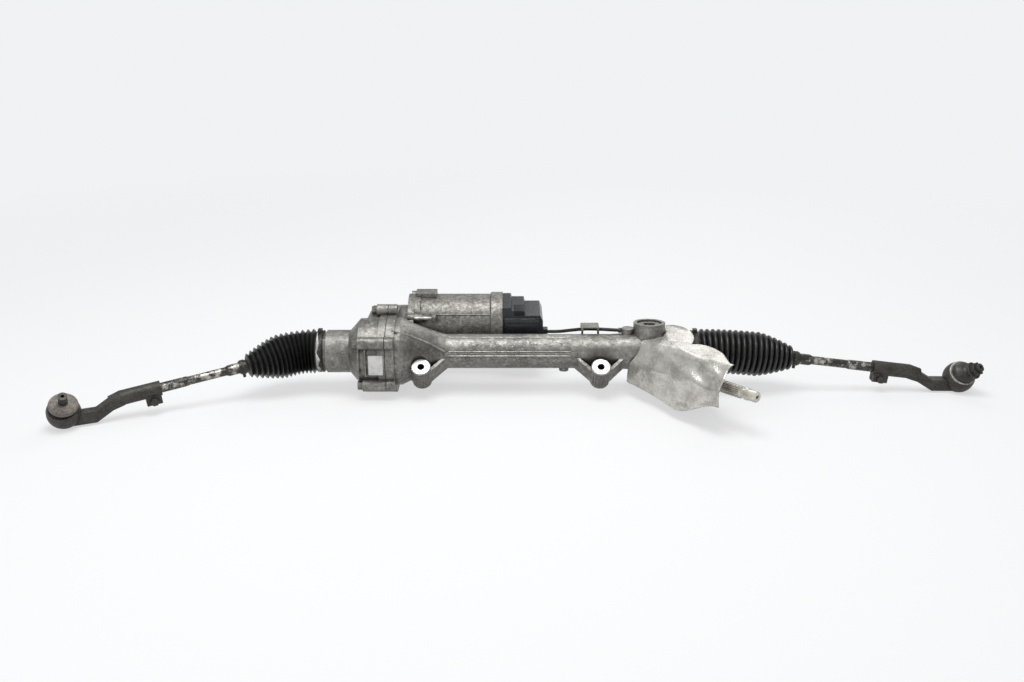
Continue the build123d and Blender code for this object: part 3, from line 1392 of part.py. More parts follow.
    # small clamp around the end of the bellows
    with BuildPart() as small_clamp:
        with BuildSketch(face.offset(BOOT_END + 2.5)):
            Circle(BOOT_LAND_R + BELLOWS_WALL + 2 * SEAT_GAP + CLAMP_T)
            Circle(BOOT_LAND_R + BELLOWS_WALL + 2 * SEAT_GAP, mode=Mode.SUBTRACT)
        extrude(amount=6.0)
        with BuildSketch(face.offset(BOOT_END + 3.5)):
            with Locations((0, -BOOT_LAND_R - BELLOWS_WALL - 3.2)):
                Rectangle(3.0, 5.0)
        extrude(amount=4.0)
    small_clamp.part.label = f"small_clamp_{hand}"
    tie_parts += [
        inner_rod.part,
        tie_end.part,
        clamp_bolt.part,
        ball_stud.part,
        dust_boot,
        small_clamp.part,
    ]
    # the left stud has lost its nut
    if hand == "right":
        tie_parts.append(stud_nut.part)

# ---- bellows and their large clamps -----------------------------------------------
def fold_rings(hand, line, inset, mouth_r, end_r):
    """Circles of a bellows' skin, root and crest in turn, square to its middle line."""
    steps = 2 * FOLDS[hand]
    rings = []
    for k in range(steps + 1):
        share = k / steps
        drawn = max(0.0, share - FOLD_SHOULDER[hand]) / (1 - FOLD_SHOULDER[hand])
        crest = BELLOWS_R - (BELLOWS_R - BELLOWS_SMALL_R) * drawn**1.3
        radius = crest if k % 2 else crest - FOLD_DEPTH
        if k == 0:
            radius = mouth_r
        if k == steps:
            radius = end_r
        ring_plane = Plane(origin=line @ share, z_dir=line % share)
        rings.append(ring_plane * Circle(radius - inset))
    return rings


boot_parts = []
for hand, end_x, out, ball_x, outer in (
    ("left", END_LEFT, -1, BALL_X_LEFT, LEFT_OUTER),
    ("right", END_RIGHT, 1, BALL_X_RIGHT, RIGHT_OUTER),
):
    along = unit(outer)
    start = (ball_x, RACK_Y, RACK_Z)
    cuff_plane = Plane(start, z_dir=along).offset(BOOT_END)
    mouth = Vector(end_x + out * BELLOWS_MOUTH, RACK_Y, RACK_Z)
    reach = (cuff_plane.origin - mouth).length * BELLOWS_EASE
    line = Bezier(
        mouth,
        mouth + Vector(out, 0, 0) * reach,
        cuff_plane.origin - Vector(*along) * reach,
        cuff_plane.origin,
    )
    cuff_r = BOOT_SEAT_R + SEAT_GAP
    end_r = BOOT_LAND_R + SEAT_GAP
    skin = fold_rings(hand, line, 0, cuff_r + BELLOWS_WALL, end_r + BELLOWS_WALL)
    room = fold_rings(hand, line, BELLOWS_WALL, cuff_r + BELLOWS_WALL, end_r + BELLOWS_WALL)
    with BuildPart() as bellows:
        with BuildSketch(across(end_x - out * (BOOT_SEAT_L - 1))):
            Circle(cuff_r + BELLOWS_WALL)
        extrude(amount=out * (BOOT_SEAT_L - 1 + BELLOWS_MOUTH))
        loft(skin, ruled=True)
        with BuildSketch(cuff_plane):
            Circle(end_r + BELLOWS_WALL)
        extrude(amount=BOOT_CUFF_L)
        # inside
        with BuildSketch(across(end_x - out * BOOT_SEAT_L)):
            Circle(cuff_r)
        extrude(amount=out * (BOOT_SEAT_L + BELLOWS_MOUTH), mode=Mode.SUBTRACT)
        loft(room, ruled=True, mode=Mode.SUBTRACT)
        with BuildSketch(cuff_plane):
            Circle(end_r)
        extrude(amount=BOOT_CUFF_L + 1, mode=Mode.SUBTRACT)
    bellows.part.label = f"bellows_{hand}"
    clamp_x = end_x - out * (BOOT_SEAT_L - 2)
    with BuildPart() as big_clamp:
        with BuildSketch(across(clamp_x)):
            Circle(cuff_r + BELLOWS_WALL + CLAMP_T)
            Circle(cuff_r + BELLOWS_WALL + SEAT_GAP, mode=Mode.SUBTRACT)
        extrude(amount=out * CLAMP_W)
        with BuildSketch(across(clamp_x + out * 1.5)):
            with Locations((-2.0, cuff_r + BELLOWS_WALL + 3.0)):
                Rectangle(8.0, 5.0)
        extrude(amount=out * (CLAMP_W - 3))
    big_clamp.part.label = f"boot_clamp_{hand}"
    boot_parts += [bellows.part, big_clamp.part]

# ---- files ------------------------------------------------------------------------
seat_group = Compound(label="ball_seats", children=seats)
finished = [
    main_housing.part,
    gear_cover.part,
    cover_seal.part,
    cover_bolts.part,
    *sleeves,
    rack_bar.part,
    *sockets,
    seat_group,
    ball_nut,
    nut_pulley,
    nut_bearing_inner,
    nut_bearing_outer,
    bearing_rollers.part,
    bearing_lock_ring,
    drive_belt.part,
    motor_housing.part,
    motor_screws.part,
    motor_stator,
    motor_bearings.part,
    motor_rotor,
    motor_pulley,
    ecu_housing.part,
    ecu_board.part,
    sensor_cable.part,
    cable_plugs.part,
    cable_gland.part,
    cable_clip.part,
    pinion_shaft.part,
    pinion_bearings.part,
    torsion_bar.part,
    input_shaft,
    sensor_housing,
    torque_sensor.part,
    input_seal.part,
    yoke.part,
    yoke_spring.part,
    yoke_plug.part,
    heat_shield.part,
    *tie_parts,
    *boot_parts,
]
for piece in finished:
    export_step(piece, f"parts/{piece.label}.step")
print(len(finished), "nodes")
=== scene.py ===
"""Dresses an electric steering rack: stage, finishes, bellows, shield and details."""

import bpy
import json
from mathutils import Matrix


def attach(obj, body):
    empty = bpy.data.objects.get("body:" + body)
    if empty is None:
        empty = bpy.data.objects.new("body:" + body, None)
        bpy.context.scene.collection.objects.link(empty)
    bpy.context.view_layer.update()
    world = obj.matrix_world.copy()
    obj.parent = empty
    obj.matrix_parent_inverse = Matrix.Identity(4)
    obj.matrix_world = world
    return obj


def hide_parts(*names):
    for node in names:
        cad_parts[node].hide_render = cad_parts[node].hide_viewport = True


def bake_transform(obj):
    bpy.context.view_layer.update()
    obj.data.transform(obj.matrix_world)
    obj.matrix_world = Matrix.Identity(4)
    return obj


bl_info = {
    "name": "Electric steering rack",
    "version": (1, 0, 0),
    "blender": (4, 5, 0),
    "location": "3D View > Sidebar > Steering rack",
    "description": "Adds the finishes and the soft and formed pieces of a steering rack",
    "category": "Add Mesh",
}

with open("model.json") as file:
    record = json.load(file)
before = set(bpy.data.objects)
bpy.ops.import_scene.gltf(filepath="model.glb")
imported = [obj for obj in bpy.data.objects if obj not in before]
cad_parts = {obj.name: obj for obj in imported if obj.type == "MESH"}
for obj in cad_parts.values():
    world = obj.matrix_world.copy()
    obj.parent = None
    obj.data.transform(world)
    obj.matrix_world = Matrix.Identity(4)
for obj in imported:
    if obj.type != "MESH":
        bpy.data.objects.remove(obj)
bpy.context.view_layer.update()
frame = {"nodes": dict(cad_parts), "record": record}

import json
import math

import bmesh
import bpy
from mathutils import Vector, geometry, noise

MM = 0.001

# ---- sizes shared by the pieces, in millimetres -------------------------------------
RACK_Y = 41.52
RACK_Z = 9.64
RACK_HEIGHT = 60.0    # rack axis above the bench
BENCH_Z = RACK_Z - RACK_HEIGHT
HOUSING_END = {"left": -153.0, "right": 400.0}
OUTWARD = {"left": -1.0, "right": 1.0}
INNER_BALL = {
    "left": Vector((-170.0, RACK_Y, RACK_Z)),
    "right": Vector((451.0, RACK_Y, RACK_Z)),
}
ROD_WAY = {
    "left": Vector((-305.4, -140.7, -38.2)).normalized(),
    "right": Vector((331.7, -5.7, -38.2)).normalized(),
}
BOOT_END = 88.0       # inner ball to the small cuff, along the rod
ROD_LENGTH = 336.0    # inner ball to outer ball
SLEEVE_REACH = 128.0  # outer ball to the inner end of the threaded sleeve
SLEEVE_START = ROD_LENGTH - SLEEVE_REACH
BOOT_SEAT_R = 27.5
BOOT_WALL = 1.6
ROD_LAND_R = 8.0
SKEW = math.radians(35.0)
RISE = math.radians(4.5)
INPUT_WAY = Vector(
    (math.sin(SKEW), -math.cos(SKEW) * math.cos(RISE), math.cos(SKEW) * math.sin(RISE))
)
MESH_WAY = Vector((0.0, math.sin(RISE), math.cos(RISE)))
PINION_X = 329.0
PINION_DROP = 16.2625  # rack axis to pinion axis
PINION_AT = Vector((PINION_X, RACK_Y, RACK_Z)) - MESH_WAY * PINION_DROP
MOUNT_WAY = Vector((0.0, -0.6, 0.8))     # out of a mounting bore, up and forward
MOUNT_SPACING = 257.0


def paint(code):
    """The linear colour of an sRGB hex value."""
    shares = [int(code[i : i + 2], 16) / 255 for i in (1, 3, 5)]
    return tuple(
        c / 12.92 if c <= 0.04045 else ((c + 0.055) / 1.055) ** 2.4 for c in shares
    )


# ---- what a user would change -------------------------------------------------------
class RackSizes(bpy.types.PropertyGroup):
    boot_crest: bpy.props.FloatProperty(
        name="Bellows crest radius",
        description="Radius of the largest folds of the bellows",
        default=32.5 * MM,
        unit="LENGTH",
    )
    boot_small: bpy.props.FloatProperty(
        name="Bellows end radius",
        description="Radius of the last fold before the small clamp",
        default=16.5 * MM,
        unit="LENGTH",
    )
    boot_depth: bpy.props.FloatProperty(
        name="Fold depth",
        description="Depth of a fold from crest to root",
        default=5.0 * MM,
        unit="LENGTH",
    )


class RackColours(bpy.types.PropertyGroup):
    casting: bpy.props.FloatVectorProperty(
        name="Casting",
        description="Clean colour of the die-cast housing",
        default=paint("#918f89"),
        subtype="COLOR",
        min=0.0,
        max=1.0,
    )
    motor: bpy.props.FloatVectorProperty(
        name="Motor",
        description="Clean colour of the motor's drawn aluminium case",
        default=paint("#88857f"),
        subtype="COLOR",
        min=0.0,
        max=1.0,
    )
    shield: bpy.props.FloatVectorProperty(
        name="Heat shield",
        description="Colour of the embossed aluminium sheet",
        default=paint("#d9d6cf"),
        subtype="COLOR",
        min=0.0,
        max=1.0,
    )
    rubber: bpy.props.FloatVectorProperty(
        name="Bellows",
        description="Colour of the moulded rubber",
        default=paint("#292928"),
        subtype="COLOR",
        min=0.0,
        max=1.0,
    )


# ---- node and mesh helpers ----------------------------------------------------------
def add(tree, kind, links=None, **settings):
    """Adds a shader node, with its settings and with values or sockets for its inputs."""
    node = tree.nodes.new("ShaderNode" + kind)
    for name, value in settings.items():
        setattr(node, name, value)
    for socket, source in (links or {}).items():
        if isinstance(source, bpy.types.NodeSocket):
            tree.links.new(source, node.inputs[socket])
        else:
            node.inputs[socket].default_value = source
    return node


def mixed(tree, share, low, high, blend="MIX"):
    """A colour between two colours or sockets."""
    return add(
        tree, "Mix", {0: share, 6: low, 7: high}, data_type="RGBA", blend_type=blend
    ).outputs[2]


def noise_share(tree, place, size_mm, detail, low, high, rough=0.6):
    """A noise of a real size, stretched to run from 0 to 1 between two of its levels."""
    cloud = add(
        tree, "TexNoise",
        {
            "Vector": place, "Scale": 1 / (size_mm * MM), "Detail": detail,
            "Roughness": rough,
        },
    ).outputs["Fac"]
    return add(
        tree, "MapRange", {"Value": cloud, "From Min": low, "From Max": high}
    ).outputs[0]


# a noise between these two of its levels is stretched to run from 0 to 1
PATCH_BAND = (0.44, 0.60)
BLOOM_BAND = (0.50, 0.64)
PIT_BAND = (0.50, 0.68)
CRUMB_BAND = (0.60, 0.72)
SPOT_BAND = (0.26, 0.44)
BLOOM_SIZE = 0.2      # a patch of bloom as a share of a large patch
CRUMB_SIZE = 0.45     # a crumb as a share of a pit
SPOT_EDGE_MM = 9.0   # size of the tongues along the edge of a dark spot
SPOT_REACH = (1.15, 0.55)    # where a dark spot begins and is full, as shares of its radius
SPOT_STRENGTH = 0.65
CORNER_TONE = 0.30     # dirt and painted shade in corners, as a share of the dark tone
SHADE_BELOW_BAND = (0.15, -0.75)     # upward share of the normal, from no painted shade to full painted shade
CORNER_BAND = (0.92, 0.35)    # openness of a corner, from no dirt and painted shade to full
EDGE_BAND = (0.985, 0.88)     # cosine of the turn at an edge, from covered to bare and lit by a painted highlight
EDGE_WEAR_AND_HIGHLIGHT = 0.55


def aged(
    name,
    dark,
    clean,
    pale,
    metallic,
    roughness,
    patch_mm,
    speck_mm,
    grain_mm,
    grain_depth_mm,
    specks=0.5,
    corner_dirt_and_shade=0.8,
    corner_dirt_and_shade_mm=7.0,
    painted_shade_below=0.35,
    edge_mm=0.0,
    dark_spots=(),
    bloom=0.5,
):
    """A worn surface: patches, specks, painted shade below, dirt and painted shade in
    corners, bare edges with a painted highlight, grain.
    """
    material = bpy.data.materials.new(name)
    material.use_nodes = True
    tree = material.node_tree
    tree.nodes.clear()
    coords = add(tree, "TexCoord")
    place = coords.outputs["Object"]
    dark4, clean4, pale4 = ((*c[:3], 1.0) for c in (dark, clean, pale))
    # large stains, then smaller patches of bloom
    patch = noise_share(tree, place, patch_mm, 5.0, *PATCH_BAND)
    tone = mixed(tree, patch, clean4, mixed(tree, 0.5, clean4, dark4))
    pale_patch = noise_share(
        tree, place, patch_mm * BLOOM_SIZE, 6.0, *BLOOM_BAND, rough=0.78
    )
    pale_share = add(
        tree, "Math", {0: pale_patch, 1: bloom}, operation="MULTIPLY", use_clamp=True
    ).outputs[0]
    tone = mixed(tree, pale_share, tone, pale4)
    # dark specks and pits
    pit = noise_share(tree, place, speck_mm, 6.0, *PIT_BAND, rough=0.75)
    pit_share = add(
        tree, "Math", {0: pit, 1: specks}, operation="MULTIPLY", use_clamp=True
    ).outputs[0]
    tone = mixed(tree, pit_share, tone, dark4)
    crumbs = noise_share(tree, place, speck_mm * CRUMB_SIZE, 3.0, *CRUMB_BAND, rough=0.7)
    crumb_share = add(
        tree, "Math", {0: crumbs, 1: specks}, operation="MULTIPLY", use_clamp=True
    ).outputs[0]
    tone = mixed(tree, crumb_share, tone, pale4)
    corner_colour = (*[c * CORNER_TONE for c in dark[:3]], 1.0)
    # dark spots: an oil stain, and painted shade in a pocket
    for spot, radius in dark_spots:
        away = add(
            tree, "VectorMath",
            {0: place, 1: tuple(c * MM for c in spot)}, operation="DISTANCE",
        ).outputs["Value"]
        outer, inner = (radius * share * MM for share in SPOT_REACH)
        near = add(
            tree, "MapRange", {"Value": away, "From Min": outer, "From Max": inner}
        ).outputs[0]
        ragged = noise_share(tree, place, SPOT_EDGE_MM, 5.0, *SPOT_BAND, rough=0.7)
        near = add(
            tree, "Math", {0: near, 1: ragged}, operation="MULTIPLY", use_clamp=True
        ).outputs[0]
        near = add(
            tree, "Math", {0: near, 1: SPOT_STRENGTH}, operation="MULTIPLY"
        ).outputs[0]
        tone = mixed(tree, near, tone, dark4)
    # painted shade: the faces turned down are darkened towards the dark tone
    turned = add(tree, "SeparateXYZ", {"Vector": coords.outputs["Normal"]}).outputs["Z"]
    below = add(
        tree, "MapRange",
        {
            "Value": turned, "From Min": SHADE_BELOW_BAND[0], "From Max": SHADE_BELOW_BAND[1],
            "To Max": painted_shade_below,
        },
    ).outputs[0]
    tone = mixed(tree, below, tone, dark4)
    # dirt and painted shade in corners, hollows and bores, found by ambient occlusion
    corner = add(tree, "AmbientOcclusion", {"Distance": corner_dirt_and_shade_mm * MM}, samples=4)
    closed_in = add(
        tree, "MapRange",
        {
            "Value": corner.outputs["AO"], "From Min": CORNER_BAND[0],
            "From Max": CORNER_BAND[1], "To Max": corner_dirt_and_shade,
        },
    ).outputs[0]
    tone = mixed(tree, closed_in, tone, corner_colour)
    gloss = add(
        tree, "MapRange",
        {"Value": pit, "To Min": max(0.05, roughness - 0.1), "To Max": roughness + 0.15},
    ).outputs[0]
    # the real grain is finer than a pixel, so it is drawn as coarse as it needs to show
    grain = add(
        tree, "TexNoise",
        {"Vector": place, "Scale": 1 / (grain_mm * MM), "Detail": 3.0, "Roughness": 0.6},
    ).outputs["Fac"]
    relief = {"Height": grain, "Distance": grain_depth_mm * MM, "Strength": 1.0}
    # bare worn edges with a painted highlight: edges are lightened towards the pale tone
    if edge_mm:
        rounded = add(tree, "Bevel", {"Radius": edge_mm * MM}, samples=4).outputs[0]
        relief["Normal"] = rounded
        face = add(tree, "NewGeometry").outputs["Normal"]
        turn = add(
            tree, "VectorMath", {0: rounded, 1: face}, operation="DOT_PRODUCT"
        ).outputs["Value"]
        edge_wear_and_highlight = add(
            tree, "MapRange",
            {
                "Value": turn, "From Min": EDGE_BAND[0], "From Max": EDGE_BAND[1],
                "To Max": EDGE_WEAR_AND_HIGHLIGHT,
            },
        ).outputs[0]
        tone = mixed(tree, edge_wear_and_highlight, tone, pale4)
    bump = add(tree, "Bump", relief).outputs["Normal"]
    surface = add(
        tree, "BsdfPrincipled",
        {"Base Color": tone, "Metallic": metallic, "Roughness": gloss, "Normal": bump},
    )
    add(tree, "OutputMaterial", {"Surface": surface.outputs["BSDF"]})
    return material


# ---- finishes -----------------------------------------------------------------------
# centre and radius of each dark spot by the mounting bosses, in mm: an oil stain at the
# left boss, painted shade in the pocket between the right bracket's arms
BOSS_DARK_SPOTS = (((4.0, 8.0, 24.0), 36.0), ((MOUNT_SPACING, 14.0, 2.0), 24.0))


def make_finishes(colours):
    """Every finish of the rack, by the record's slot name or by a name of its own."""
    casting, motor = tuple(colours.casting), tuple(colours.motor)
    shield, rubber = tuple(colours.shield), tuple(colours.rubber)
    return {
        # die-cast aluminium, shot-blasted and then years beneath a car: a dull warm grey
        # skin with oily stains, pale bloom, painted shade below and bare edges with a
        # painted highlight
        "cast_aluminium": aged(
            "shot_blasted_die_casting", paint("#4d4b47"), casting, paint("#c3c1bb"),
            metallic=0.5, roughness=0.45, patch_mm=42.0,
            speck_mm=5.0, grain_mm=1.5, grain_depth_mm=0.40,
            specks=0.7, painted_shade_below=0.3, edge_mm=0.9, bloom=0.7,
        ),
        # the same casting, with dark spots by both mounting bosses: an oil stain at the
        # left, painted shade in the right bracket's pocket
        "spotted_casting": aged(
            "die_casting_with_dark_boss_spots", paint("#45433f"), casting, paint("#c3c1bb"),
            metallic=0.5, roughness=0.45, patch_mm=42.0,
            speck_mm=5.0, grain_mm=1.5, grain_depth_mm=0.40,
            specks=0.7, painted_shade_below=0.3, edge_mm=0.9, bloom=0.7,
            dark_spots=BOSS_DARK_SPOTS,
        ),
        # drawn and bead-blasted aluminium with patches of white oxide, and strong painted
        # shade on the faces turned down
        "motor_aluminium": aged(
            "bead_blasted_motor_case", paint("#45423d"), motor, paint("#b3b1ab"),
            metallic=0.45, roughness=0.45, patch_mm=20.0,
            speck_mm=4.2, grain_mm=1.3, grain_depth_mm=0.40,
            specks=0.95, painted_shade_below=0.85, edge_mm=0.8, bloom=0.9,
        ),
        # soft aluminium heat sheet with a satin sheen and small dents
        "shield_aluminium": aged(
            "embossed_aluminium_sheet", paint("#8c8780"), shield, paint("#f3f0ea"),
            metallic=0.6, roughness=0.36, patch_mm=30.0,
            speck_mm=4.5, grain_mm=3.0, grain_depth_mm=0.45,
            specks=0.35, corner_dirt_and_shade=0.5, painted_shade_below=0.55, bloom=0.55,
        ),
        # ground and polished steel, nickel bright
        "machined_steel": aged(
            "ground_steel", paint("#5d5a54"), paint("#c4c0b6"), paint("#e6e2da"),
            metallic=0.9, roughness=0.26, patch_mm=18.0,
            speck_mm=3.0, grain_mm=0.9, grain_depth_mm=0.05,
            specks=0.45, corner_dirt_and_shade=0.9,
        ),
        # nickel-plated steel, bright with a yellowish cast
        "nickel": aged(
            "nickel_plate", paint("#8f8b80"), paint("#ece8dc"), paint("#f6f3ea"),
            metallic=0.35, roughness=0.22, patch_mm=16.0,
            speck_mm=3.0, grain_mm=0.9, grain_depth_mm=0.03,
            specks=0.3, corner_dirt_and_shade=0.35, corner_dirt_and_shade_mm=3.0, painted_shade_below=0.1,
        ),
        # hot-forged steel with black oxide and a little rust brown
        "forged_steel": aged(
            "black_oxide_forging", paint("#292724"), paint("#4a4844"), paint("#776f64"),
            metallic=0.3, roughness=0.55, patch_mm=24.0,
            speck_mm=4.5, grain_mm=1.6, grain_depth_mm=0.30,
            specks=0.5, corner_dirt_and_shade=0.6, bloom=0.35, edge_mm=0.7,
        ),
        # forged rod whose oxide is rubbed through to bare steel in long patches
        "rubbed_rod": aged(
            "rubbed_steel_rod", paint("#2b2926"), paint("#45433f"), paint("#d2cec6"),
            metallic=0.45, roughness=0.42, patch_mm=70.0,
            speck_mm=5.0, grain_mm=1.2, grain_depth_mm=0.20,
            specks=0.45, corner_dirt_and_shade=0.6, bloom=1.3,
        ),
        # zinc plating gone dull
        "zinc_steel": aged(
            "dull_zinc_plating", paint("#45423d"), paint("#7d7a73"), paint("#b7b3aa"),
            metallic=0.7, roughness=0.42, patch_mm=12.0,
            speck_mm=3.0, grain_mm=1.0, grain_depth_mm=0.10,
            specks=0.6, corner_dirt_and_shade=0.9, edge_mm=0.5,
        ),
        # crimped clamp band, black with dirt
        "dark_clamp": aged(
            "dirty_clamp_steel", paint("#1f1d1b"), paint("#3a3733"), paint("#8d8a83"),
            metallic=0.5, roughness=0.5, patch_mm=10.0,
            speck_mm=3.0, grain_mm=1.0, grain_depth_mm=0.25,
            specks=0.6, corner_dirt_and_shade=0.8, bloom=0.55,
        ),
        # smear of dried white paint that wraps the inner edge of the left clamp
        "paint_smear": aged(
            "dried_white_paint", paint("#4a4743"), paint("#e4e2dd"), paint("#f7f6f4"),
            metallic=0.0, roughness=0.5, patch_mm=9.0,
            speck_mm=4.0, grain_mm=1.2, grain_depth_mm=0.25,
            specks=0.9, corner_dirt_and_shade=0.3,
        ),
        # copper windings and steel laminations
        "winding_steel": aged(
            "varnished_windings", paint("#3d2a1b"), paint("#7a5131"), paint("#9a7550"),
            metallic=0.6, roughness=0.45, patch_mm=8.0,
            speck_mm=1.5, grain_mm=0.8, grain_depth_mm=0.2,
        ),
        # moulded neoprene, satin, brownish black with grey dust on the crests
        "bellows_rubber": aged(
            "moulded_neoprene", paint("#141413"), rubber, paint("#5b5953"),
            metallic=0.0, roughness=0.40, patch_mm=30.0,
            speck_mm=5.0, grain_mm=1.4, grain_depth_mm=0.12,
            specks=0.35, corner_dirt_and_shade=0.9, corner_dirt_and_shade_mm=6.0,
            painted_shade_below=0.2, bloom=0.3,
        ),
        # rubber dust boot, greyed and browned by dust
        "dusty_rubber": aged(
            "dusty_nitrile", paint("#37322e"), paint("#8f8780"), paint("#b9b1a8"),
            metallic=0.0, roughness=0.6, patch_mm=12.0,
            speck_mm=4.0, grain_mm=1.2, grain_depth_mm=0.20,
            specks=0.6, corner_dirt_and_shade=0.6, painted_shade_below=0.5,
        ),
        # the same rubber, newer and darker
        "dark_rubber": aged(
            "dark_nitrile", paint("#1c1a19"), paint("#3a3734"), paint("#6e6963"),
            metallic=0.0, roughness=0.5, patch_mm=12.0,
            speck_mm=4.0, grain_mm=1.2, grain_depth_mm=0.15,
            specks=0.6, corner_dirt_and_shade=0.6, painted_shade_below=0.4, bloom=0.35,
        ),
        # nitrile rubber, matt
        "seal_rubber": aged(
            "matt_nitrile", paint("#141414"), paint("#242322"), paint("#3c3a38"),
            metallic=0.0, roughness=0.6, patch_mm=14.0,
            speck_mm=2.4, grain_mm=0.9, grain_depth_mm=0.1,
        ),
        # toothed belt rubber
        "belt_rubber": aged(
            "belt_rubber", paint("#101010"), paint("#1e1e1e"), paint("#2c2c2c"),
            metallic=0.0, roughness=0.65, patch_mm=10.0,
            speck_mm=2.0, grain_mm=0.8, grain_depth_mm=0.1,
        ),
        # glass-filled nylon with a fine spark texture
        "black_plastic": aged(
            "glass_filled_nylon", paint("#111316"), paint("#1d2026"), paint("#3c4048"),
            metallic=0.0, roughness=0.34, patch_mm=30.0,
            speck_mm=4.0, grain_mm=1.2, grain_depth_mm=0.04,
            specks=0.12, corner_dirt_and_shade=0.6, bloom=0.12, edge_mm=0.8,
        ),
        # the same nylon where the mould is polished
        "glossy_nylon": aged(
            "polished_nylon", paint("#15171b"), paint("#22242a"), paint("#4c515b"),
            metallic=0.0, roughness=0.2, patch_mm=30.0,
            speck_mm=5.0, grain_mm=1.6, grain_depth_mm=0.02,
            specks=0.12, corner_dirt_and_shade=0.5, bloom=0.12, edge_mm=1.0,
        ),
        # painted shade: near black, standing in for the dark hollow of a connector or a
        # bolt hole
        "hollow_shade_black": aged(
            "painted_hollow_shade", paint("#050505"), paint("#0b0b0b"), paint("#161514"),
            metallic=0.0, roughness=0.7, patch_mm=10.0,
            speck_mm=3.0, grain_mm=1.0, grain_depth_mm=0.1,
        ),
        # acetal, moulded
        "white_plastic": aged(
            "white_acetal", paint("#c9c5ba"), paint("#e2dfd6"), paint("#eeece5"),
            metallic=0.0, roughness=0.4, patch_mm=12.0,
            speck_mm=2.0, grain_mm=0.8, grain_depth_mm=0.04,
        ),
        # phenolic pulley
        "pulley_plastic": aged(
            "moulded_phenolic", paint("#1c1916"), paint("#2e2a26"), paint("#403a34"),
            metallic=0.0, roughness=0.45, patch_mm=12.0,
            speck_mm=2.0, grain_mm=0.8, grain_depth_mm=0.05,
        ),
        # solder mask on glass epoxy
        "board": aged(
            "green_solder_mask", paint("#0b3a1e"), paint("#13572e"), paint("#1f7040"),
            metallic=0.0, roughness=0.35, patch_mm=8.0,
            speck_mm=1.5, grain_mm=0.6, grain_depth_mm=0.03,
        ),
        # braided polyester sleeve over the cable
        "cable_sheath": aged(
            "braided_polyester", paint("#121212"), paint("#222222"), paint("#3f3d3a"),
            metallic=0.0, roughness=0.6, patch_mm=8.0,
            speck_mm=2.4, grain_mm=1.5, grain_depth_mm=0.5,
        ),
        # face-turned aluminium, bright
        "bright_face": aged(
            "face_turned_aluminium", paint("#bdbab4"), paint("#f1f0ec"), paint("#fbfaf8"),
            metallic=0.2, roughness=0.4, patch_mm=20.0,
            speck_mm=4.0, grain_mm=1.0, grain_depth_mm=0.03,
            specks=0.1, corner_dirt_and_shade=0.5, painted_shade_below=0.1,
        ),
        # bright bare aluminium; as thin bars along the tube's top edge and ribs it is a
        # painted highlight
        "bright_casting_and_highlight": aged(
            "bright_die_casting_and_painted_highlight", paint("#5b5853"), paint("#cfccc5"), paint("#e9e7e1"),
            metallic=0.5, roughness=0.42, patch_mm=14.0,
            speck_mm=4.0, grain_mm=1.2, grain_depth_mm=0.20,
            specks=0.8, painted_shade_below=0.3,
        ),
    }


FINISH = {}           # filled by the finishes step
TURNED_POINTS = 48    # points round a turned piece
BAR_POINTS = 16       # points round a thin bar


def dress(piece, slot, finish=None):
    """Gives a piece its finish: the named one, or else the one of its slot."""
    piece.data.materials.clear()
    piece.data.materials.append(FINISH[finish or slot])


def mesh_piece(name, points, faces):
    """A new smooth-shaded object from points in millimetres and faces."""
    mesh = bpy.data.meshes.new(name)
    mesh.from_pydata([tuple(c * MM for c in p) for p in points], [], faces)
    mesh.validate()
    mesh.update()
    mesh.shade_smooth()
    piece = bpy.data.objects.new(name, mesh)
    bpy.context.scene.collection.objects.link(piece)
    return piece


def ring_points(centre, way, radius, count, up=Vector((0, 0, 1))):
    """Points of a circle round a direction."""
    across = way.cross(up).normalized()
    rise = across.cross(way).normalized()
    return [
        centre
        + across * (radius * math.cos(2 * math.pi * i / count))
        + rise * (radius * math.sin(2 * math.pi * i / count))
        for i in range(count)
    ]


def ridged_points(way, low, high, ridges):
    """A ring with straight-sided ridges, round the origin."""
    across = way.cross(Vector((0, 0, 1))).normalized()
    rise = across.cross(way).normalized()
    points = []
    for k in range(ridges):
        for part, radius in ((0.0, low), (0.2, high), (0.5, high), (0.7, low)):
            turn = 2 * math.pi * (k + part) / ridges
            points.append(
                across * (radius * math.cos(turn)) + rise * (radius * math.sin(turn))
            )
    return points


def tube_piece(name, rings, closed=False):
    """A skin over rings of points; a closed one joins its last ring to its first."""
    count = len(rings[0])
    points = [p for ring in rings for p in ring]
    faces = []
    pairs = len(rings) if closed else len(rings) - 1
    for k in range(pairs):
        here, there = k * count, ((k + 1) % len(rings)) * count
        for i in range(count):
            j = (i + 1) % count
            faces.append((here + i, here + j, there + j, there + i))
    if not closed:
        faces.append(tuple(range(count))[::-1])
        faces.append(tuple((len(rings) - 1) * count + i for i in range(count)))
    return mesh_piece(name, points, faces)


def turned_piece(name, centre, way, section):
    """A piece turned around a line, from pairs of distance along it and radius."""
    rings = [ring_points(centre + way * d, way, r, TURNED_POINTS) for d, r in section]
    return tube_piece(name, rings, closed=True)


def fix_outside(piece):
    """Turns the faces of a closed mesh outwards."""
    work = bmesh.new()
    work.from_mesh(piece.data)
    bmesh.ops.recalc_face_normals(work, faces=work.faces)
    work.to_mesh(piece.data)
    work.free()
    piece.data.shade_smooth()


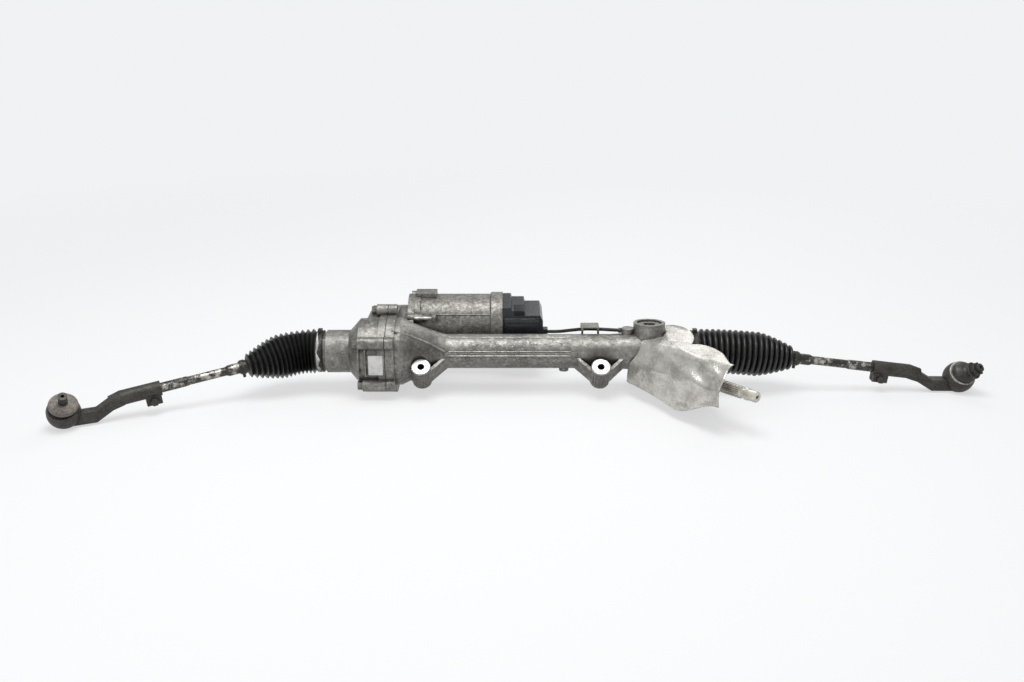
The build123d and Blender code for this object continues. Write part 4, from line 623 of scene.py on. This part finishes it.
# ---- stage --------------------------------------------------------------------------
FLOOR_SIZE = 14.0             # metres
FLOOR_X = 0.13                # metres; the middle of the view
FADE = (0.75, 2.1)            # metres from the rack between which the floor goes pale
NEAR_GLOW = 0.6               # share of its own tone that the floor shows near the rack
FLOOR_TONE = "#fdfdfe"
ROOM_TONE = "#f0f2f4"
BENCH_LIT = "#eceded"         # the bench where it is seen
BENCH_BOUNCE = "#a5a6a7"      # the bench as a source of light from below
WORLD_LIGHT = 0.42            # strength of the world as a light
LAMPS = (                     # name, place, aim, size, power
    ("lamp_above", (0.05, -0.25, 1.7), (0.1, 0.05, 0.0), 1.0, 23.0),
    ("lamp_front", (-0.9, -1.7, 1.1), (0.1, 0.0, 0.0), 1.2, 7.0),
    ("lamp_back", (0.7, 1.6, 1.2), (0.1, 0.0, 0.0), 1.2, 7.0),
)
LENS_MM = 36.95
SENSOR_MM = 36.0
CAMERA_AT = (0.130, -1.40415, 0.52286)
CAMERA_TILT = math.radians(71.0)


class RACK_OT_stage(bpy.types.Operator):
    """Floor, lamps, world and camera"""

    bl_idname = "rack.stage"
    bl_label = "Stage"

    def execute(self, context):
        scene = context.scene
        scene.view_settings.view_transform = "Standard"
        bpy.ops.mesh.primitive_plane_add(
            size=FLOOR_SIZE, location=(FLOOR_X, 0.0, BENCH_Z * MM)
        )
        floor = context.object
        floor.name = "floor"
        paper = bpy.data.materials.new("white_paper")
        paper.use_nodes = True
        tree = paper.node_tree
        tree.nodes.clear()
        rays = add(tree, "LightPath")
        seen = add(
            tree, "Math",
            {0: rays.outputs["Is Camera Ray"], 1: rays.outputs["Is Glossy Ray"]},
            operation="MAXIMUM",
        ).outputs[0]
        seen = add(
            tree, "Math", {0: seen, 1: rays.outputs["Is Transmission Ray"]},
            operation="MAXIMUM",
        ).outputs[0]
        # far from the rack the floor takes the room's own tone, so that no edge shows
        away = add(
            tree, "VectorMath", {0: add(tree, "TexCoord").outputs["Object"]},
            operation="LENGTH",
        ).outputs["Value"]
        far = add(
            tree, "MapRange", {"Value": away, "From Min": FADE[0], "From Max": FADE[1]}
        ).outputs[0]
        glowing = add(
            tree, "MapRange", {"Value": far, "To Min": NEAR_GLOW, "To Max": 1.0}
        ).outputs[0]
        share = add(tree, "Math", {0: seen, 1: glowing}, operation="MULTIPLY").outputs[0]
        sheet = mixed(tree, far, (*paint(FLOOR_TONE), 1.0), (*paint(ROOM_TONE), 1.0))
        # the bench throws less light up than it shows
        bounce = mixed(tree, seen, (*paint(BENCH_BOUNCE), 1.0), (*paint(BENCH_LIT), 1.0))
        matt = add(tree, "BsdfDiffuse", {"Color": bounce})
        glow = add(tree, "Emission", {"Color": sheet, "Strength": 1.0})
        both = add(
            tree, "MixShader", {0: share, 1: matt.outputs[0], 2: glow.outputs[0]}
        )
        add(tree, "OutputMaterial", {"Surface": both.outputs[0]})
        floor.data.materials.append(paper)

        world = bpy.data.worlds.new("pale_room")
        scene.world = world
        world.use_nodes = True
        tree = world.node_tree
        tree.nodes.clear()
        rays = add(tree, "LightPath")
        seen = add(
            tree, "Math",
            {0: rays.outputs["Is Camera Ray"], 1: rays.outputs["Is Transmission Ray"]},
            operation="MAXIMUM",
        ).outputs[0]
        strength = add(
            tree, "MapRange", {"Value": seen, "To Min": WORLD_LIGHT, "To Max": 1.0}
        ).outputs[0]
        sky = add(
            tree, "Background", {"Color": (*paint(ROOM_TONE), 1.0), "Strength": strength}
        )
        add(tree, "OutputWorld", {"Surface": sky.outputs[0]})

        for name, spot, aim, size, power in LAMPS:
            lamp = bpy.data.lights.new(name, "AREA")
            lamp.size = size
            lamp.energy = power
            holder = bpy.data.objects.new(name, lamp)
            holder.location = spot
            way = Vector(aim) - Vector(spot)
            holder.rotation_euler = way.to_track_quat("-Z", "Y").to_euler()
            scene.collection.objects.link(holder)

        camera = bpy.data.cameras.new("camera")
        camera.lens = LENS_MM
        camera.sensor_width = SENSOR_MM
        camera.clip_start = 0.05
        stand = bpy.data.objects.new("camera", camera)
        stand.location = CAMERA_AT
        stand.rotation_euler = (CAMERA_TILT, 0.0, 0.0)
        scene.collection.objects.link(stand)
        scene.camera = stand
        return {"FINISHED"}


# ---- finishes of the CAD pieces -----------------------------------------------------
# pieces whose finish differs from the one of their slot
OWN_FINISH = {
    "mount_sleeve_left": "bright_face",
    "mount_sleeve_right": "bright_face",
    "main_housing": "spotted_casting",
    "boot_clamp_left": "dark_clamp",
    "boot_clamp_right": "dark_clamp",
    "small_clamp_left": "dark_clamp",
    "small_clamp_right": "dark_clamp",
    "inner_rod_left": "rubbed_rod",
    "inner_rod_right": "rubbed_rod",
    "dust_boot_left": "dusty_rubber",
    "ball_stud_left": "forged_steel",
    "ball_stud_right": "forged_steel",
    "stud_nut_right": "forged_steel",
    "input_shaft": "nickel",
}


class RACK_OT_finishes(bpy.types.Operator):
    """Finishes of the pieces that the CAD model gives"""

    bl_idname = "rack.finishes"
    bl_label = "Finishes"

    def execute(self, context):
        FINISH.update(make_finishes(context.scene.rack_colours))
        slots = {p["node"]: p["material_slot"] for p in frame["record"]["subparts"]}
        for name, node in frame["nodes"].items():
            node.data.materials.clear()
            node.data.materials.append(FINISH[OWN_FINISH.get(name, slots[name])])
        return {"FINISHED"}


# ---- bellows ------------------------------------------------------------------------
FOLDS = {"left": 15, "right": 17}
FOLDS_ON_RACK = {"left": 9, "right": 12}  # the folds between the housing and the rack
FOLD_SHOULDER = {"left": 0.5, "right": 0.62}  # share of the length that keeps full size
FOLD_STEPS = 8
BOOT_START = 2.0      # mm from the housing's end to the first fold
BOOT_PULL = 0.36      # length of the middle line's handles, as a share of its span
BOOT_KNOTS = 400      # points of the middle line
BOOT_ROUND = 72       # points of a ring
CUFF_L = 13.0         # mm
SMALL_CUFF_L = 10.5   # mm


def boot_path(hand):
    """Places along the middle line of a bellows, from the housing to the small cuff."""
    out = Vector((OUTWARD[hand], 0, 0))
    first = Vector((HOUSING_END[hand], RACK_Y, RACK_Z)) + out * BOOT_START
    last = INNER_BALL[hand] + ROD_WAY[hand] * BOOT_END
    reach = (last - first).length * BOOT_PULL
    knots = geometry.interpolate_bezier(
        first, first + out * reach, last - ROD_WAY[hand] * reach, last, BOOT_KNOTS
    )
    lengths = [0.0]
    for a, b in zip(knots, knots[1:]):
        lengths.append(lengths[-1] + (b - a).length)

    def at(share):
        goal = share * lengths[-1]
        k = next((i for i in range(1, BOOT_KNOTS) if lengths[i] >= goal), BOOT_KNOTS - 1)
        part = (goal - lengths[k - 1]) / (lengths[k] - lengths[k - 1])
        way = (knots[min(k + 3, BOOT_KNOTS - 1)] - knots[max(k - 4, 0)]).normalized()
        return knots[k - 1].lerp(knots[k], part), way

    return at


def crest_radius(hand, share, sizes):
    """Envelope of the folds: full at the housing and drawn in towards the rod."""
    full, small = sizes.boot_crest / MM, sizes.boot_small / MM
    drawn = max(0.0, share - FOLD_SHOULDER[hand]) / (1 - FOLD_SHOULDER[hand])
    return full - (full - small) * drawn**1.3


def fold_radius(hand, share, phase, sizes):
    """Radius within a fold: a pointed or a rounded crest over a narrow root."""
    crest = crest_radius(hand, share, sizes)
    depth = sizes.boot_depth / MM
    lift = 1 - abs(2 * phase - 1)
    if hand == "left":
        return crest - depth * (1 - lift**0.9)
    return crest - depth * (1 - math.sin(lift * math.pi / 2) ** 0.9)


def boot_profile(hand, sizes):
    """Rings of the bellows' skin as (share of length, radius)."""
    folds = FOLDS[hand]
    rings = []
    for fold in range(folds):
        for step in range(FOLD_STEPS):
            share = (fold + step / FOLD_STEPS) / folds
            rings.append((share, fold_radius(hand, share, step / FOLD_STEPS, sizes)))
    rings.append((1.0, ROD_LAND_R + BOOT_WALL))
    return rings


def boot_piece(name, hand, rings, weight_of):
    """A hollow piece of bellows over rings of (share, radius, slide along the line)."""
    at = boot_path(hand)
    skin, weights = [], []
    walls = [(share, r, extra) for share, r, extra in rings]
    walls += [(share, r - BOOT_WALL, extra) for share, r, extra in reversed(rings)]
    for share, radius, extra in walls:
        centre, way = at(min(max(share, 0.0), 1.0))
        skin.append(ring_points(centre + way * extra, way, radius, BOOT_ROUND))
        weights += [weight_of(share)] * BOOT_ROUND
    piece = tube_piece(name, skin, closed=True)
    fix_outside(piece)
    piece.data.set_sharp_from_angle(angle=math.radians(80.0))
    dress(piece, "bellows_rubber")
    start, end = at(0.0)[0] * MM, at(1.0)[0] * MM
    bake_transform(piece)
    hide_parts(f"bellows_{hand}")
    return piece


class RACK_OT_bellows(bpy.types.Operator):
    """Folded rubber bellows over the inner ball joints"""

    bl_idname = "rack.bellows"
    bl_label = "Bellows"

    def execute(self, context):
        sizes = context.scene.rack_sizes
        for hand in ("left", "right"):
            profile = boot_profile(hand, sizes)
            seam = FOLDS_ON_RACK[hand] / FOLDS[hand]
            near = [(s, r, 0.0) for s, r in profile if s <= seam + 1e-6]
            far = [(s, r, 0.0) for s, r in profile if s >= seam - 1e-6]
            cuff_r = BOOT_SEAT_R + BOOT_WALL
            neck = [(0.0, cuff_r, -CUFF_L), (0.0, cuff_r, -2.0), (0.0, cuff_r - 0.5, -0.8)]
            small_r = ROD_LAND_R + BOOT_WALL
            tail = [(1.0, small_r, 1.8), (1.0, small_r, SMALL_CUFF_L)]
            boot_piece(
                f"bellows_{hand}_main", hand, neck + near,
                lambda s: min(s / seam, 1.0),
            )
            boot_piece(
                f"bellows_{hand}_tail", hand, far + tail,
                lambda s: max(0.0, (s - seam) / (1 - seam)),
            )
        return {"FINISHED"}


# ---- heat shield --------------------------------------------------------------------
SHIELD_AT = Vector((365.0, RACK_Y - 70.0, RACK_Z - 10.0))
SHIELD_OUT = Vector((-0.158, -0.925, 0.345)).normalized()
SHIELD_RIGHT = (Vector((1, 0, 0)) - SHIELD_OUT * SHIELD_OUT.x).normalized()
SHIELD_UP = SHIELD_OUT.cross(SHIELD_RIGHT)
SHIELD_STEP = 4.0     # longest edge left in the formed sheet
SHIELD_PASSES = 7     # most times that its long edges are halved
CREASE_TOP = (-12.0, 51.0)    # where the long crease begins
CREASE_WAY = Vector((74.0, -63.0)).normalized()
CREASE_L = 97.0
CREASE_W = 7.0
CREASE_FADE = 12.0


def bell(distance, width):
    """A smooth hump of height 1."""
    return math.exp(-((distance / width) ** 2))


def shield_rise(across, up):
    """How far the sheet stands out from its bent blank, in mm, at a place on it."""
    rel = Vector((across - CREASE_TOP[0], up - CREASE_TOP[1]))
    along, aside = rel.dot(CREASE_WAY), rel.x * CREASE_WAY.y - rel.y * CREASE_WAY.x
    on_crease = bell(max(0.0, -along, along - CREASE_L), CREASE_FADE)
    # the long crease, and a lower one beside it
    rise = 4.6 * on_crease * bell(aside, CREASE_W)
    rise += 2.4 * on_crease * bell(aside - 24.0, CREASE_W)
    # the crown over the pinion housing, and a small one beside it
    rise += 3.0 * bell(across + 30.0, 24.0) * bell(up - 20.0, 26.0)
    rise += 2.0 * bell(across - 16.0, 12.0) * bell(up + 8.0, 16.0)
    # the curled lower edge, and the lifted edge at the input shaft
    rise += 3.6 * bell(min(0.0, up + 50.0), 4.0) * bell(max(0.0, up + 46.0), 9.0)
    rise += 2.2 * bell(across - 70.0, 12.0)
    # dents from handling, large and small
    spot = Vector((across, up, 0.0))
    rise += 3.0 * (0.5 + noise.noise(spot / 19.0))
    rise += 0.5 * (0.5 + noise.noise(spot / 7.0))
    return max(0.0, rise)


class RACK_OT_shield(bpy.types.Operator):
    """Heat shield, pressed and dented from thin sheet"""

    bl_idname = "rack.shield"
    bl_label = "Heat shield"

    def execute(self, context):
        mesh = frame["nodes"]["heat_shield"].data.copy()
        work = bmesh.new()
        work.from_mesh(mesh)
        bmesh.ops.remove_doubles(work, verts=work.verts, dist=0.01 * MM)
        bmesh.ops.triangulate(work, faces=work.faces)
        for _ in range(SHIELD_PASSES):
            long_ones = [e for e in work.edges if e.calc_length() > SHIELD_STEP * MM]
            if not long_ones:
                break
            bmesh.ops.subdivide_edges(work, edges=long_ones, cuts=1)
            bmesh.ops.triangulate(work, faces=work.faces)
        for vert in work.verts:
            rel = vert.co / MM - SHIELD_AT
            rise = shield_rise(rel.dot(SHIELD_RIGHT), rel.dot(SHIELD_UP))
            vert.co += SHIELD_OUT * (rise * MM)
        work.to_mesh(mesh)
        work.free()
        mesh.shade_smooth()
        mesh.set_sharp_from_angle(angle=math.radians(40.0))
        piece = bpy.data.objects.new("heat_shield_formed", mesh)
        context.scene.collection.objects.link(piece)
        dress(piece, "shield_aluminium")
        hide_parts("heat_shield")
        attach(piece, "housing")
        return {"FINISHED"}


# ---- small pieces -------------------------------------------------------------------
def block_piece(name, low, high, edge, slot, finish):
    """A box with rounded edges, between two corners in mm, fixed to the housing."""
    mesh = bpy.data.meshes.new(name)
    work = bmesh.new()
    bmesh.ops.create_cube(work, size=1.0)
    for vert in work.verts:
        vert.co = Vector(
            (low[i] + (vert.co[i] + 0.5) * (high[i] - low[i])) * MM for i in range(3)
        )
    bmesh.ops.bevel(
        work, geom=work.edges[:], offset=edge * MM, segments=3, profile=0.5, affect="EDGES"
    )
    work.to_mesh(mesh)
    work.free()
    mesh.shade_smooth()
    mesh.set_sharp_from_angle(angle=math.radians(50.0))
    piece = bpy.data.objects.new(name, mesh)
    bpy.context.scene.collection.objects.link(piece)
    dress(piece, slot, finish)
    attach(piece, "housing")
    return piece


def bar_piece(name, points, radius, slot, finish, body="housing"):
    """A round bar through points in mm."""
    spots = [Vector(p) for p in points]
    rings = []
    for k, spot in enumerate(spots):
        way = (spots[min(k + 1, len(spots) - 1)] - spots[max(k - 1, 0)]).normalized()
        rings.append(ring_points(spot, way, radius, BAR_POINTS))
    piece = tube_piece(name, rings)
    fix_outside(piece)
    piece.data.set_sharp_from_angle(angle=math.radians(50.0))
    dress(piece, slot, finish)
    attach(piece, body)
    return piece


def ring_piece(name, centre, way, section, slot, finish, body="housing"):
    """A turned ring, from pairs of distance along its axis and radius."""
    piece = turned_piece(name, centre, way, section)
    fix_outside(piece)
    piece.data.set_sharp_from_angle(angle=math.radians(40.0))
    dress(piece, slot, finish)
    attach(piece, body)
    return piece


COVER_RIBS = ((-87.7, -10.0), (-78.0, -12.0))         # place and lower end
SHELL_RIDGE = (
    (-41.0, 10.1, 50.9), (-15.4, 14.8, 41.8), (12.6, 17.2, 28.9), (33.8, 17.5, 16.6),
)
TUBE_EDGES = ((17.6, 16.6), (14.3, 11.7), (33.4, 33.2))
TUBE_EDGE_ENDS = (39.0, 214.0)
BOLT_HOLE = ((0.6, 5.2), (0.6, 4.7), (-35.5, 4.7), (-35.5, 5.2))
BOSS_RIB_R = 13.9     # boss axis to the middle of a draft rib
BOSS_RIB_SPAN = (5.0, 34.0)   # below the face of the boss
BOSS_RIB_TURN = 17.0  # degrees from rib to rib


class RACK_OT_casting_details(bpy.types.Operator):
    """Ribs, bare identification place, painted shade in the bolt holes and painted
    highlight along the tube's top edge and ribs
    """

    bl_idname = "rack.casting_details"
    bl_label = "Casting details"

    def execute(self, context):
        block_piece(
            "blank_place", (-73.6, -11.2, -8.5), (-52.6, -4.5, 20.5), 1.0,
            "cast_aluminium", "bright_face",
        )
        for k, (x, low) in enumerate(COVER_RIBS):
            block_piece(
                f"cover_rib_{k}", (x - 1.2, -9.0, low), (x + 1.2, 2.0, 32.0), 0.8,
                "cast_aluminium", "cast_aluminium",
            )
        # casting line from the cover down to the tube
        bar_piece("shell_ridge", SHELL_RIDGE, 1.8, "cast_aluminium", "cast_aluminium")
        # painted highlight: thin pale bars along the tube's top edge and its two ribs
        for k, (y, z) in enumerate(TUBE_EDGES):
            bar_piece(
                f"tube_highlight_{k}", [(x, y, z) for x in TUBE_EDGE_ENDS], 0.9,
                "cast_aluminium", "bright_casting_and_highlight",
            )
        bar_piece(
            "cover_peg", ((-47.0, 60.0, 66.0), (-47.0, 60.0, 77.4)), 2.2,
            "cast_aluminium", "cast_aluminium",
        )
        for hand, x in (("left", 0.0), ("right", MOUNT_SPACING)):
            # painted shade: a near-black lining in the bolt hole
            ring_piece(
                f"mount_bore_shade_{hand}", Vector((x, 0, 0)), MOUNT_WAY, BOLT_HOLE,
                "machined_steel", "hollow_shade_black",
            )
            # draft ribs down the outside of the boss
            side = MOUNT_WAY.cross(Vector((1, 0, 0)))
            for k in range(-3, 4):
                turn = math.radians(90.0 + k * BOSS_RIB_TURN)
                off = Vector((1, 0, 0)) * math.cos(turn) + side * math.sin(turn)
                foot = Vector((x, 0, 0)) + off * BOSS_RIB_R * (1 if off.z < 0 else -1)
                bar_piece(
                    f"boss_rib_{hand}_{k + 3}",
                    [foot - MOUNT_WAY * depth for depth in BOSS_RIB_SPAN], 0.9,
                    "cast_aluminium", "cast_aluminium",
                )
        return {"FINISHED"}


class RACK_OT_motor_details(bpy.types.Operator):
    """Seam, ear and pin of the motor, a painted-shade block for the control unit's dark
    opening, and its polished band
    """

    bl_idname = "rack.motor_details"
    bl_label = "Motor details"

    def execute(self, context):
        bar_piece(
            "motor_seam", ((18.0, 83.4, 51.4), (104.0, 83.4, 51.4)), 1.5,
            "motor_aluminium", "motor_aluminium",
        )
        block_piece(
            "motor_ear", (11.0, 66.0, 45.5), (18.0, 84.0, 54.5), 1.6,
            "motor_aluminium", "motor_aluminium",
        )
        bar_piece(
            "motor_pin", ((-13.5, 69.0, 50.8), (17.0, 69.0, 50.8)), 2.6,
            "zinc_steel", "bright_casting_and_highlight",
        )
        # painted shade: a near-black block standing in for the dark opening on the control
        # unit
        block_piece(
            "unit_opening_shade", (133.0, 79.2, 51.5), (147.6, 112.0, 59.0), 0.5,
            "black_plastic", "hollow_shade_black",
        )
        block_piece(
            "unit_band", (118.5, 78.9, 23.0), (171.0, 84.0, 47.0), 1.2,
            "black_plastic", "glossy_nylon",
        )
        return {"FINISHED"}


BALL_RIGHT = INNER_BALL["right"] + ROD_WAY["right"] * ROD_LENGTH
CASE_TILT = math.radians(43.0)
STUD_LEAN = math.radians(24.0)
BOOT_SKIN = 1.6       # thickness of the dust boot's rubber
BOOT_LIP = 0.4        # its inner skin starts this much lower
SKIN_POINTS = 48
# share of the way from the case's axis to the stud's, distance from the ball, radius
BOOT_SECTION = (
    (0.0, 13.4, 15.6), (0.0, 14.6, 16.0), (0.12, 15.4, 16.6), (0.3, 17.0, 16.8),
    (0.5, 18.2, 16.0), (0.7, 19.6, 14.4), (0.85, 21.0, 12.2), (0.95, 22.6, 10.4),
    (1.0, 24.6, 9.8),
)


class RACK_OT_dust_boot(bpy.types.Operator):
    """Rubber dust boot between the right ball case and its leaning stud"""

    bl_idname = "rack.dust_boot"
    bl_label = "Dust boot"

    def execute(self, context):
        rod = ROD_WAY["right"]
        tipped = Vector((0, -math.sin(CASE_TILT), math.cos(CASE_TILT)))
        case = (tipped - rod * tipped.dot(rod)).normalized()
        stud = case * math.cos(STUD_LEAN) + rod * math.sin(STUD_LEAN)
        rings, weights = [], []
        inner = [
            (share, up - BOOT_LIP, r - BOOT_SKIN) for share, up, r in reversed(BOOT_SECTION)
        ]
        for share, up, r in (*BOOT_SECTION, *inner):
            way = case.lerp(stud, share).normalized()
            rings.append(ring_points(BALL_RIGHT + way * up, way, r, SKIN_POINTS))
            weights += [share] * SKIN_POINTS
        boot = tube_piece("dust_boot_skin", rings, closed=True)
        fix_outside(boot)
        dress(boot, "seal_rubber", "dark_rubber")
        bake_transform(boot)
        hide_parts("dust_boot_right")
        ring_piece(
            "boot_ring", BALL_RIGHT, case,
            ((12.2, 16.2), (12.2, 18.9), (14.2, 18.9), (14.8, 18.2), (14.8, 16.2)),
            "zinc_steel", "bright_casting_and_highlight", "tie_rod_right",
        )
        ring_piece(
            "nut_flange", BALL_RIGHT, stud,
            ((25.2, 9.9), (25.2, 12.6), (27.4, 12.6), (28.6, 11.0), (28.6, 9.9)),
            "zinc_steel", "forged_steel", "stud_right",
        )
        return {"FINISHED"}


CLAMP_X = 10.0        # housing's end to the near edge of the large clamp
CLAMP_R = 30.0
THREAD_PITCH = 2.6    # coarser than the real 1.5 mm, so that it shows
THREAD_TURNS = 9
THREAD_START = SLEEVE_START - 26.0
SMEAR_X = -151.4
SMEAR_POINTS = 120
RIDGES = ((150.0, 7.6), (151.5, 8.5), (184.0, 8.5), (185.0, 7.6))
RIDGE_ROOT_R = 7.4
RIDGE_COUNT = 20


class RACK_OT_rod_details(bpy.types.Operator):
    """Clamp beads, rod threads and the ridged end of the input shaft"""

    bl_idname = "rack.rod_details"
    bl_label = "Rod details"

    def execute(self, context):
        for hand in ("left", "right"):
            out = OUTWARD[hand]
            edge = HOUSING_END[hand] - out * CLAMP_X
            centre = Vector((edge, RACK_Y, RACK_Z))
            way = Vector((out, 0, 0))
            for k, at in enumerate((0.6, 8.4)):
                ring_piece(
                    f"clamp_bead_{hand}_{k}", centre, way,
                    (
                        (at - 0.6, CLAMP_R), (at - 0.3, CLAMP_R + 0.7),
                        (at + 0.3, CLAMP_R + 0.7), (at + 0.6, CLAMP_R),
                    ),
                    "zinc_steel", "dark_clamp",
                )
            section = [(THREAD_START, 6.2)]
            for turn in range(THREAD_TURNS):
                section.append((THREAD_START + turn * THREAD_PITCH + 0.4, 6.4))
                section.append((THREAD_START + (turn + 0.5) * THREAD_PITCH, 7.2))
            last = THREAD_START + THREAD_TURNS * THREAD_PITCH
            section += [(last, 6.4), (last + 0.5, 6.1), (THREAD_START, 6.1)]
            ring_piece(
                f"rod_thread_{hand}", INNER_BALL[hand], ROD_WAY[hand], section,
                "forged_steel", "rubbed_rod", f"tie_rod_{hand}",
            )
        # white paint along the inner edge of the left clamp, with a ragged border
        edge = Vector((SMEAR_X, RACK_Y, RACK_Z))
        way = Vector((1, 0, 0))
        low = ring_points(edge, way, 30.1, SMEAR_POINTS)
        high = ring_points(edge, way, 30.62, SMEAR_POINTS)
        border = [p + way * (3.6 + 4.0 * noise.noise(p / 11.0)) for p in high]
        foot = [Vector((b.x, p.y, p.z)) for b, p in zip(border, low)]
        smear = tube_piece("clamp_smear", (low, high, border, foot), closed=True)
        fix_outside(smear)
        dress(smear, "zinc_steel", "paint_smear")
        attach(smear, "housing")
        # ridges along the input shaft, then a collar before its groove
        rings = []
        for d, crest in RIDGES:
            ring = ridged_points(INPUT_WAY, RIDGE_ROOT_R, crest, RIDGE_COUNT)
            rings.append([PINION_AT + INPUT_WAY * d + p for p in ring])
        ridged = tube_piece("input_ridges", rings)
        fix_outside(ridged)
        ridged.data.set_sharp_from_angle(angle=math.radians(30.0))
        dress(ridged, "machined_steel", "nickel")
        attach(ridged, "input")
        ring_piece(
            "input_collar", PINION_AT, INPUT_WAY,
            ((192.5, 7.4), (193.0, 8.2), (196.5, 8.2), (197.0, 7.4)),
            "machined_steel", "nickel", "input",
        )
        return {"FINISHED"}


CLASSES = (
    RackSizes,
    RackColours,
    RACK_OT_stage,
    RACK_OT_finishes,
    RACK_OT_bellows,
    RACK_OT_shield,
    RACK_OT_casting_details,
    RACK_OT_motor_details,
    RACK_OT_rod_details,
    RACK_OT_dust_boot,
)
STEPS = (
    "stage",
    "finishes",
    "bellows",
    "shield",
    "casting_details",
    "motor_details",
    "rod_details",
    "dust_boot",
)


class RACK_PT_panel(bpy.types.Panel):
    """Buttons for the stage and for each group of pieces"""

    bl_idname = "RACK_PT_panel"
    bl_label = "Steering rack"
    bl_space_type = "VIEW_3D"
    bl_region_type = "UI"
    bl_category = "Steering rack"

    def draw(self, context):
        for step in STEPS:
            self.layout.operator(f"rack.{step}")
        for group in (context.scene.rack_sizes, context.scene.rack_colours):
            for name in group.__annotations__:
                self.layout.prop(group, name)


def register():
    for one in (*CLASSES, RACK_PT_panel):
        bpy.utils.register_class(one)
    bpy.types.Scene.rack_sizes = bpy.props.PointerProperty(type=RackSizes)
    bpy.types.Scene.rack_colours = bpy.props.PointerProperty(type=RackColours)


def unregister():
    del bpy.types.Scene.rack_colours
    del bpy.types.Scene.rack_sizes
    for one in reversed((*CLASSES, RACK_PT_panel)):
        bpy.utils.unregister_class(one)


def main():
    register()
    for step in STEPS:
        getattr(bpy.ops.rack, step)()
    bpy.context.view_layer.update()


if __name__ == "__main__":
    main()
